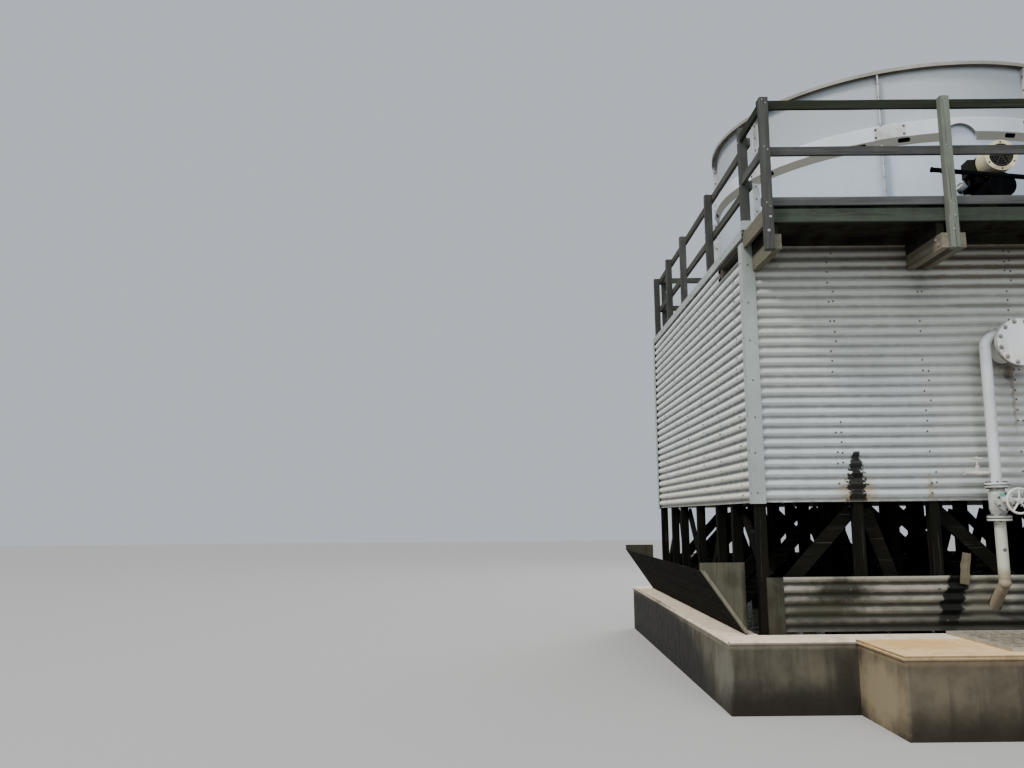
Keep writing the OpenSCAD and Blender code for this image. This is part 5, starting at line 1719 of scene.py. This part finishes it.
@dataclass
class Stack(SubAssembly):
    """Bolts of the stack's flanges, lap plates and foot, and black linings that paint the shade inside the hoop."""

    bolt_step: float = 0.168
    flange: float = 0.0082
    plate_ends: Span = (-1.4, 5.8)
    foot_bolts: int = 6
    arch_reach: float = 7.0
    shade_lining_gap: float = 0.6
    shade_lining_steps: int = 16

    @property
    def step(self) -> float:
        """Angle that a panel takes, in degrees."""
        return 360 / SIZES.panels

    @property
    def arch(self) -> float:
        """Angle of the arch over the drive, in degrees."""
        return -90 - SIZES.drive_turn

    def spot(self, angle: float, radius: float, z: float) -> Vector:
        """A point about the stack's axis."""
        turn = math.radians(angle)
        return Vector((SIZES.stack_x + radius * math.cos(turn), radius * math.sin(turn), z))

    def build(self) -> None:
        """Adds the bolts seam by seam, and the shade linings."""
        s = SIZES
        piece = Piece("stack_bolts")
        low, high, plate = s.hoop_low, s.hoop_low + s.hoop_h, s.stack_r + s.hoop_reach + 0.0043
        for i in range(s.panels):
            seam = self.arch + (i + 0.5) * self.step
            turn = math.radians(seam)
            side = Vector((-math.sin(turn), math.cos(turn), 0))
            z = s.deck_top + 0.12
            while z < s.stack_top - 0.08:
                if not low - 0.02 < z < high + 0.02:
                    base = self.spot(seam, s.stack_r + (0.055 if z < low else 0.035), z)
                    for way in (side, -side):
                        piece.bolt(base + way * self.flange, way, 0.008, self.rng.uniform(0, 60))
                z += self.bolt_step
            for angle in (seam + end for end in self.plate_ends):
                for z in (low + s.hoop_slope + 0.035, high - 0.045):
                    piece.screw(self.spot(angle, plate, z), heading(angle), 0.010)
            for k in range(1, self.foot_bolts + 1):
                angle = seam + self.step * k / (self.foot_bolts + 1)
                piece.bolt(self.spot(angle, s.stack_r + 0.052, s.deck_top + 0.0145), UP, 0.010)
        piece.place(Finishes.DARK_BOLT, "stack_flange")
        self.build_shade_linings()

    def build_shade_linings(self) -> None:
        """Lines the inside of each hoop panel in black as painted shade, seen through its slots, and leaves the arch
        free.
        """
        s, arch, count = SIZES, self.arch, self.shade_lining_steps
        # Black linings inside the hoop: painted shade.
        piece = Piece("hoop_shade_linings")
        for i in range(s.panels):
            start, stop = (arch + (i + end) * self.step - math.copysign(self.shade_lining_gap, end) for end in (-0.5, 0.5))
            parts = [(start, stop)] if i else [(start, arch - self.arch_reach), (arch + self.arch_reach, stop)]
            for first, last in parts:
                turns = [first + (last - first) * k / count for k in range(count + 1)]
                piece.grid([[self.spot(turn, s.stack_r + 0.0015, z) for turn in turns]
                            for z in (s.hoop_low + 0.016, s.hoop_low + s.hoop_h - 0.014)])
        piece.place(Finishes.BLACK, "stack_flange", smooth=40)


@dataclass
class Fittings(SubAssembly):
    """Bolts, gaskets, weld beads and small fittings of the header, the bypass and the gate valve."""

    header_reach: float = 0.330
    branch_rise: float = 0.088
    bend: float = 0.120
    bead: float = 0.055
    bead_thick: float = 0.004
    joint: float = 0.165
    weld: float = 0.189
    header_bead: float = 0.034
    header_circle: float = 0.052
    valve_circle: float = 0.090
    bonnet: float = 0.134
    bonnet_circle: float = 0.079
    branch_end: float = 0.137
    branch_circle: float = 0.074
    gasket: Span = (0.1152, 0.009)
    collar: float = 0.150
    nut: float = 0.286
    gland_pegs: float = 0.042
    gland_seat: float = 0.156
    gland_reach: float = 0.120

    def flange_bolts(self, piece: Piece, at: Point, axis: Vector, radius: float, count: int, size: float, reach: float,
                     both: bool = True) -> None:
        """Adds a circle of bolts through a pair of flanges.

        Args:
            piece: The piece to add to.
            at: Middle of the joint.
            axis: Direction of the pipe.
            radius: Radius of the bolt circle.
            count: Number of bolts.
            size: Radius of the heads.
            reach: Distance of the heads' seats from the joint.
            both: Whether nuts stand on the far side too.
        """
        frame = tilt(axis)
        for x, y in circle(radius, count, 0.5):
            spot = Vector(at) + frame @ Vector((x, y, 0))
            turn = self.rng.uniform(0, 60)
            piece.bolt(spot + axis * reach, axis, size, turn)
            piece.peg(spot + axis * reach, axis, size * 0.5, 0.0, size * 1.5, 10)
            if both:
                piece.bolt(spot - axis * reach, -axis, size, turn)
                piece.peg(spot, axis, size * 0.5, -reach, reach, 8)

    def build(self) -> None:
        """Builds the fittings of every pipe."""
        s = SIZES
        x, y, branch = s.bypass_x, s.bypass_y, s.header_z + self.branch_rise
        header_y = -s.half - self.header_reach
        joints = [s.valve_z + self.joint, s.valve_z - self.joint]
        bolts = Piece("header_bolts")
        self.flange_bolts(bolts, (s.header_x, header_y - 0.002, s.header_z), FRONT, s.header_r + self.header_circle,
                          12, 0.016, 0.032)
        bolts.place(Finishes.BOLT, "header")
        beads = Piece("pipe_weld_beads")
        beads.ring((x, y, branch - self.bend), UP, self.bead, 0.0035)
        beads.ring((x + self.bend, y, branch), RIGHT, self.bead, 0.0035)
        beads.ring((x, y, s.elbow_z + 0.055), UP, self.bead + 0.0005, self.bead_thick)
        for z in (s.valve_z + self.weld, s.valve_z - self.weld):
            beads.ring((x, y, z), UP, self.bead + 0.001, self.bead_thick)
        beads.place(Finishes.WHITE_PIPE, "bypass", smooth=60)
        bead = Piece("header_weld_bead")
        bead.ring((s.header_x, header_y + self.header_bead, s.header_z), FRONT, s.header_r + 0.001, 0.006, 48)
        bead.place(Finishes.HEADER, "header", smooth=60)
        valve = Piece("valve_bolts")
        for z in joints:
            self.flange_bolts(valve, (x, y, z), UP, self.valve_circle, 8, 0.011, 0.0245)
        self.flange_bolts(valve, (x, y - self.bonnet, s.valve_z), FRONT, self.bonnet_circle, 6, 0.008, 0.0185,
                          both=False)
        self.flange_bolts(valve, (x + self.branch_end, y, branch), RIGHT, self.branch_circle, 8, 0.007, 0.0115,
                          both=False)
        valve.place(Finishes.DARK_BOLT, "valve")
        gaskets = Piece("valve_gaskets")
        radius, thick = self.gasket
        for z in joints:
            gaskets.peg((x, y, z - thick / 2), UP, radius, 0.0, thick, 40)
        gaskets.place(Finishes.BLACK, "valve")
        gland = Piece("valve_gland")
        gland.turned((x, y - self.collar, s.valve_z), FRONT, ((0.052, 0.0), (0.052, 0.012), (0.040, 0.018)), 24)
        gland.turned((x, y - self.nut, s.valve_z), FRONT, ((0.040, 0.0), (0.040, 0.020), (0.030, 0.026)), 6)
        for off in (-self.gland_pegs, self.gland_pegs):
            gland.peg((x + off, y - self.gland_seat, s.valve_z), FRONT, 0.011, 0.0, self.gland_reach, 10)
        gland.place(Finishes.VALVE, "valve", bevel=0.001)


@dataclass
class Machinery(SubAssembly):
    """Bolts of the gearbox, the couplings, the motor and the cradles, on the drive line."""

    tube_rise: float = 0.428
    tube_high: float = 0.136
    shaft_rise: float = 0.166
    seat: float = 0.018
    foot_circle: float = 0.222
    foot_rise: float = 0.024
    lid_circle: float = 0.182
    lid_rise: float = 0.168
    couplings: Span = (-0.375, -2.700)
    coupling_circle: float = 0.078
    cradle_front: float = -3.070
    cradle_back: float = -0.120
    cradle_half: float = 0.30
    cradle_step: float = 0.045
    cradle_foot: float = 0.012
    guard_y: float = -3.400
    guard_circle: float = 0.145

    @property
    def turn(self) -> Matrix:
        """The rotation from -Y to the drive line."""
        return Matrix.Rotation(math.radians(-SIZES.drive_turn), 3, "Z")

    def spot(self, x: float, y: float, z: float) -> Vector:
        """A point given along the drive line."""
        return self.turn @ Vector((x, y, z)) + Vector((SIZES.stack_x, 0, 0))

    def build(self) -> None:
        """Adds the bolts of each machine."""
        s = SIZES
        tube_top = s.deck_top + self.tube_rise + self.tube_high
        shaft_z = tube_top + self.shaft_rise + self.seat
        piece = Piece("drive_bolts")
        out = self.turn @ FRONT
        for foot, lid in zip(circle(self.foot_circle, 8), circle(self.lid_circle, 8)):
            piece.bolt(self.spot(*foot, tube_top + self.foot_rise), UP, 0.013)
            piece.bolt(self.spot(*lid, shaft_z + self.lid_rise), UP, 0.010)
        for y in self.couplings:
            for x, z in circle(self.coupling_circle, 6):
                piece.bolt(self.spot(x, y, shaft_z + z), out, 0.010)
        for y, low in ((self.cradle_front, s.deck_top), (self.cradle_back, s.planks_low)):
            for x in (-self.cradle_half, self.cradle_half):
                for dy in (-self.cradle_step, self.cradle_step):
                    piece.bolt(self.spot(x, y + dy, low + self.cradle_foot), UP, 0.011)
        for x, z in circle(self.guard_circle, 6, 0.5):
            piece.screw(self.spot(x, self.guard_y, shaft_z + z), out, 0.007)
        piece.place(Finishes.DARK_BOLT, "black_steel")


@dataclass
class BasinWorks(SubAssembly):
    """Water in the basin and the sump, the ends of the curb's lip and the broken board on the skirt."""

    water_z: float = 0.545
    ripple: float = 0.003
    lip: float = 0.020
    board_at: Point = (-0.930, -3.060, 1.340)
    board_lean: float = 9.0

    def surface(self, name: str, low: Span, high: Span, cells: int) -> None:
        """Builds a water surface with low ripples.

        Args:
            name: The piece's name.
            low: Its lowest X and Y.
            high: Its highest X and Y.
            cells: Number of cells along each side.
        """
        xs, ys = ([low[k] + (high[k] - low[k]) * i / cells for i in range(cells + 1)] for k in (0, 1))
        piece = Piece(name)
        piece.grid([[Vector((x, y, self.water_z + self.rng.uniform(-self.ripple, self.ripple))) for x in xs]
                    for y in ys])
        piece.place(Finishes.WATER, "concrete_floor", smooth=180)

    def build(self) -> None:
        """Builds the water, the lip's ends and the broken board."""
        s = SIZES
        wall = s.basin_half - s.basin_wall
        self.surface("basin_water_surface", (-wall, -wall), (wall, wall), 70)
        pit_front = -s.basin_half - s.sump_reach + s.pit_wall
        self.surface("sump_water_surface", (-s.pit_half, pit_front), (s.pit_half, -wall), 22)
        lips = Piece("curb_lip_ends")
        outline = ((0.0, 0.645), (self.lip, 0.665), (self.lip, 0.680), (0.0, s.basin_top))
        for side in (-1, 1):
            for end in (-1, 1):
                ys = sorted((end * (s.basin_half + (self.lip if end < 0 else 0)), end * wall))
                rings = [lips.corners((side * (s.basin_half + dx), y, z) for dx, z in outline) for y in ys]
                lips.face(rings[0])
                lips.face(rings[1][::-1])
                lips.sleeve(rings)
        lips.place(Finishes.CONCRETE, "concrete_basin", bevel=0.003)
        board = Piece("broken_board")
        turn = Matrix.Translation(self.board_at) @ Matrix.Rotation(math.radians(self.board_lean), 4, "Y")
        board.board((-0.046, -0.010, -0.160), (0.044, 0.010, 0.155), Axis.Z, self.rng, turn, uneven=0.010, step=0.06)
        board.place(Finishes.TAN_BOARD, "skirt", bevel=0.002)


@dataclass
class SplashBoards(SubAssembly):
    """The sloped boards beside the air inlets, their cheeks, battens and brackets."""

    foot: float = 0.118
    out: float = 0.575
    top: float = 1.417
    lip: float = 0.077
    thick: float = 0.020
    plank: float = 0.017
    rows: int = 4
    batten: float = 0.014
    bracket: float = 0.019
    bracket_rise: Span = (0.090, 0.210)
    bracket_spots: tuple[float, ...] = (-1.960, -1.176, 0.0, 1.176, 1.960)

    def build(self) -> None:
        """Builds both sides' boards."""
        s = SIZES
        low, rise = s.basin_top, self.top - self.lip - s.basin_top
        run, half = self.out - self.thick - self.foot, s.half - 0.008
        lean, width = math.atan2(run, rise), math.hypot(run, rise) / self.rows
        planks, cheeks, brackets, battens = (Piece(f"splash_{part}") for part in ("planks", "cheeks", "brackets",
                                                                                  "battens"))
        reach = half - self.thick - 0.001
        for side in (Side.LEFT, Side.RIGHT):
            turn = side.turned()
            slope = turn @ Matrix.Translation((0, -s.half - self.foot, low)) @ Matrix.Rotation(lean, 4, "X")
            for i in range(self.rows):
                joint = self.rng.uniform(-1.2, 1.2)
                for x0, x1 in ((-reach, joint), (joint + SEAM, reach)):
                    drop = self.rng.uniform(0, 0.002)
                    planks.board((x0, -self.plank - drop, i * width + 0.001), (x1, -drop, (i + 1) * width - 0.002),
                                 Axis.X, self.rng, slope, uneven=0.001)
            for sign in (-1, 1):
                x = sign * half
                for piece, end, outline in ((cheeks, x - sign * self.thick, self.cheek_outline()),
                                            (battens, x + sign * self.batten, self.batten_outline())):
                    piece.plate(turn, (min(x, end), max(x, end)), outline, self.rng)
            for x in self.bracket_spots:
                brackets.plate(turn, (x - self.bracket, x + self.bracket), self.bracket_outline(run / rise), self.rng)
        # The splash planks and brackets are dressed in painted shade.
        for piece, finish, bevel in ((planks, Finishes.SHADED_SPLASH, 0.002), (cheeks, Finishes.CHEEK, 0.0015)):
            piece.place(finish, "splash", replaces=["splash_boards"], bevel=bevel)
        battens.place(Finishes.BATTEN, "splash", bevel=0.002)
        brackets.place(Finishes.SHADED_SPLASH, "splash", replaces=["splash_boards"], bevel=0.002)

    def cheek_outline(self) -> list[Span]:
        """Y and Z of a triangular cheek's corners."""
        foot, out, low = -SIZES.half - self.foot, -SIZES.half - self.out, SIZES.basin_top
        return [(foot, low), (foot, self.top), (out, self.top), (out, self.top - self.lip), (foot - self.thick, low)]

    def batten_outline(self) -> list[Span]:
        """Draws the batten along a cheek's sloped edge.

        Returns:
            Y and Z of its corners.
        """
        foot, out = -SIZES.half - self.foot - self.thick, -SIZES.half - self.out
        low, high = SIZES.basin_top + 0.02, self.top - self.lip
        return [(foot - 0.005, low), (foot + 0.035, low), (out + 0.045, high), (out + 0.002, high)]

    def bracket_outline(self, lean: float) -> list[Span]:
        """Draws a bracket between a column and the sloped boards.

        Args:
            lean: Run of the sloped boards for their rise.

        Returns:
            Y and Z of its corners.
        """
        foot, wall = -SIZES.half - self.foot, -SIZES.half + SIZES.skin
        (r0, r1), low = self.bracket_rise, SIZES.basin_top
        z0, z1 = low + r0, low + r1
        return [(foot - lean * (z0 - low), z0), (wall, z0), (wall, z1), (foot - lean * (z1 - low), z1)]


@dataclass(frozen=True)
class NodeFinish:
    """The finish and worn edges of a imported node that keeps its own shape."""

    node: str
    finish: Finish
    bevel: float = 0.0

    def dress(self, frame: dict) -> None:
        """Gives the node its finish and worn edges.
        """
        node = frame["nodes"][self.node]
        node.data.materials.clear()
        node.data.materials.append(self.finish.material())
        if self.bevel:
            round_edges(node, self.bevel)
        LOG.info("%s: %s", self.node, self.finish.name)


def kept_nodes() -> list[NodeFinish]:
    """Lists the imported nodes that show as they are.

    Returns:
        Their finishes.
    """
    f = Finishes
    walls = [(f"basin_wall_{side}", f.CONCRETE, 0.008) for side in ("front", "back", "left", "right")]
    return [NodeFinish(*row) for row in (
        ("basin_floor", f.CONCRETE, 0.006), *walls, ("sump_box", f.SUMP, 0.008), ("sump_grating", f.GRATING, 0.001),
        ("columns", f.SHADED_COLUMN, 0.005), ("inlet_braces", f.SHADED_BRACE, 0.004), ("fill_beams", f.SHADED_BRACE, 0.004),
        ("fill_pack", f.FILL), ("drift_eliminators", f.DRIFT), ("edge_trims", f.TRIM, 0.0015),
        ("deck_beams", f.BEAM, 0.004), ("stack_wall", f.STACK), ("stack_hoop", f.HOOP, 0.004),
        ("stack_rim", f.RIM, 0.002), ("stack_flanges", f.FLANGE, 0.001), ("fan_hub", f.HUB, 0.002),
        ("fan_blades", f.BLADE), ("gearbox", f.GEARBOX, 0.004), ("drive_shaft", f.SHAFT, 0.003),
        ("motor", f.MOTOR, 0.0015), ("motor_cowl", f.COWL, 0.003), ("torque_tube", f.BLACK, 0.002),
        ("conduit_bar", f.BLACK, 0.002), ("water_header", f.HEADER, 0.003), ("bypass_pipe", f.WHITE_PIPE, 0.002),
        ("gate_valve", f.VALVE, 0.003), ("valve_wheel", f.WHEEL), ("tap_valve", f.TAP, 0.002),
        ("tap_handle", f.TAP, 0.001))]


@dataclass(frozen=True)
class View:
    """The photograph's camera."""

    place: Point = (-5.535, -12.448, 1.901)
    yaw: float = 0.0906
    pitch: float = 8.326
    roll: float = -0.530
    lens_px: float = 906.70
    frame_px: float = 1024.0
    sensor: float = 36.0
    far: float = 500.0

    def build(self) -> None:
        """Adds the camera and makes it the scene's."""
        yaw, pitch, roll = (math.radians(a) for a in (self.yaw, self.pitch, self.roll))
        ahead = Vector((math.sin(yaw) * math.cos(pitch), math.cos(yaw) * math.cos(pitch), math.sin(pitch)))
        right = Vector((math.cos(yaw), -math.sin(yaw), 0))
        up = right.cross(ahead)
        across, along = right * math.cos(roll) + up * math.sin(roll), up * math.cos(roll) - right * math.sin(roll)
        data = bpy.data.cameras.new("camera")
        data.sensor_width = self.sensor
        data.lens = self.lens_px / self.frame_px * self.sensor
        data.clip_end = self.far
        camera = put("camera", data)
        camera.matrix_world = Matrix.Translation(self.place) @ Matrix((across, along, -ahead)).transposed().to_4x4()
        bpy.context.scene.camera = camera


class Glow(Enum):
    """The kinds of light in use."""

    SOFT_SQUARE = "AREA"
    SOFT_SUN = "SUN"


@dataclass(frozen=True)
class Lamp:
    """A soft light: a square at its place, or parallel light from its side."""

    name: str
    kind: Glow
    place: Point
    power: float
    size: float
    colour: Colour = (1.0, 1.0, 1.0)
    aim: Point = (0.0, 0.0, 3.5)

    def build(self) -> None:
        """Adds the light, turned to its aim; size is a width in metres, or an angle in degrees for a sun."""
        data = bpy.data.lights.new(self.name, self.kind.value)
        data.energy = self.power
        data.color = self.colour
        if self.kind is Glow.SOFT_SUN:
            data.angle = math.radians(self.size)
        else:
            data.size = self.size
        way = Vector(self.aim) - Vector(self.place)
        turn = way.to_track_quat("-Z", "Y").to_matrix().to_4x4()
        put(self.name, data).matrix_world = Matrix.Translation(self.place) @ turn


@dataclass(frozen=True)
class Studio:
    """The pale floor, the pale surroundings and the lights."""

    floor_half: float = 60.0
    floor_colour: Colour = (0.34, 0.34, 0.335)
    floor_rough: float = 0.9
    sky: Colour = (0.82, 0.90, 1.0)
    sky_power: float = 0.66
    lamps: tuple[Lamp, ...] = (
        Lamp("key", Glow.SOFT_SUN, (-16.0, -9.0, 24.0), 3.7, 16.0, (1.0, 0.95, 0.87)),
        Lamp("fill", Glow.SOFT_SQUARE, (-2.0, -20.0, 14.0), 2700.0, 12.0, (0.95, 0.98, 1.0)),
        Lamp("rear", Glow.SOFT_SQUARE, (8.0, 17.0, 14.0), 2500.0, 12.0),
    )

    def build(self) -> None:
        """Builds the floor, the world and the lights."""
        floor = bpy.data.meshes.new("floor")
        h = self.floor_half
        floor.from_pydata([(-h, -h, 0), (h, -h, 0), (h, h, 0), (-h, h, 0)], [], [(0, 1, 2, 3)])
        paper = bpy.data.materials.new("floor_paper")
        paper.use_nodes = True
        shader = paper.node_tree.nodes["Principled BSDF"]
        shader.inputs["Base Color"].default_value = _rgba(self.floor_colour)
        shader.inputs["Roughness"].default_value = self.floor_rough
        floor.materials.append(paper)
        put("floor", floor)
        world = bpy.data.worlds.new("surroundings")
        world.use_nodes = True
        back = world.node_tree.nodes["Background"]
        back.inputs[0].default_value = _rgba(self.sky)
        back.inputs[1].default_value = self.sky_power
        bpy.context.scene.world = world
        for lamp in self.lamps:
            lamp.build()


def main() -> None:
    """Builds every sub-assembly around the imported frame, each with its own seed."""
    logging.basicConfig(level=logging.INFO, format="%(name)s: %(message)s")
    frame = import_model()
    View().build()
    Studio().build()
    for row in kept_nodes():
        row.dress(frame)
    for part in (Casing(11), Trims(12), Walkway(13), Handrails(14), FanDeck(15), Stack(16), Fittings(17), Machinery(18),
                 BasinWorks(19), SplashBoards(20)):
        part.build()


if __name__ == "__main__":
    main()
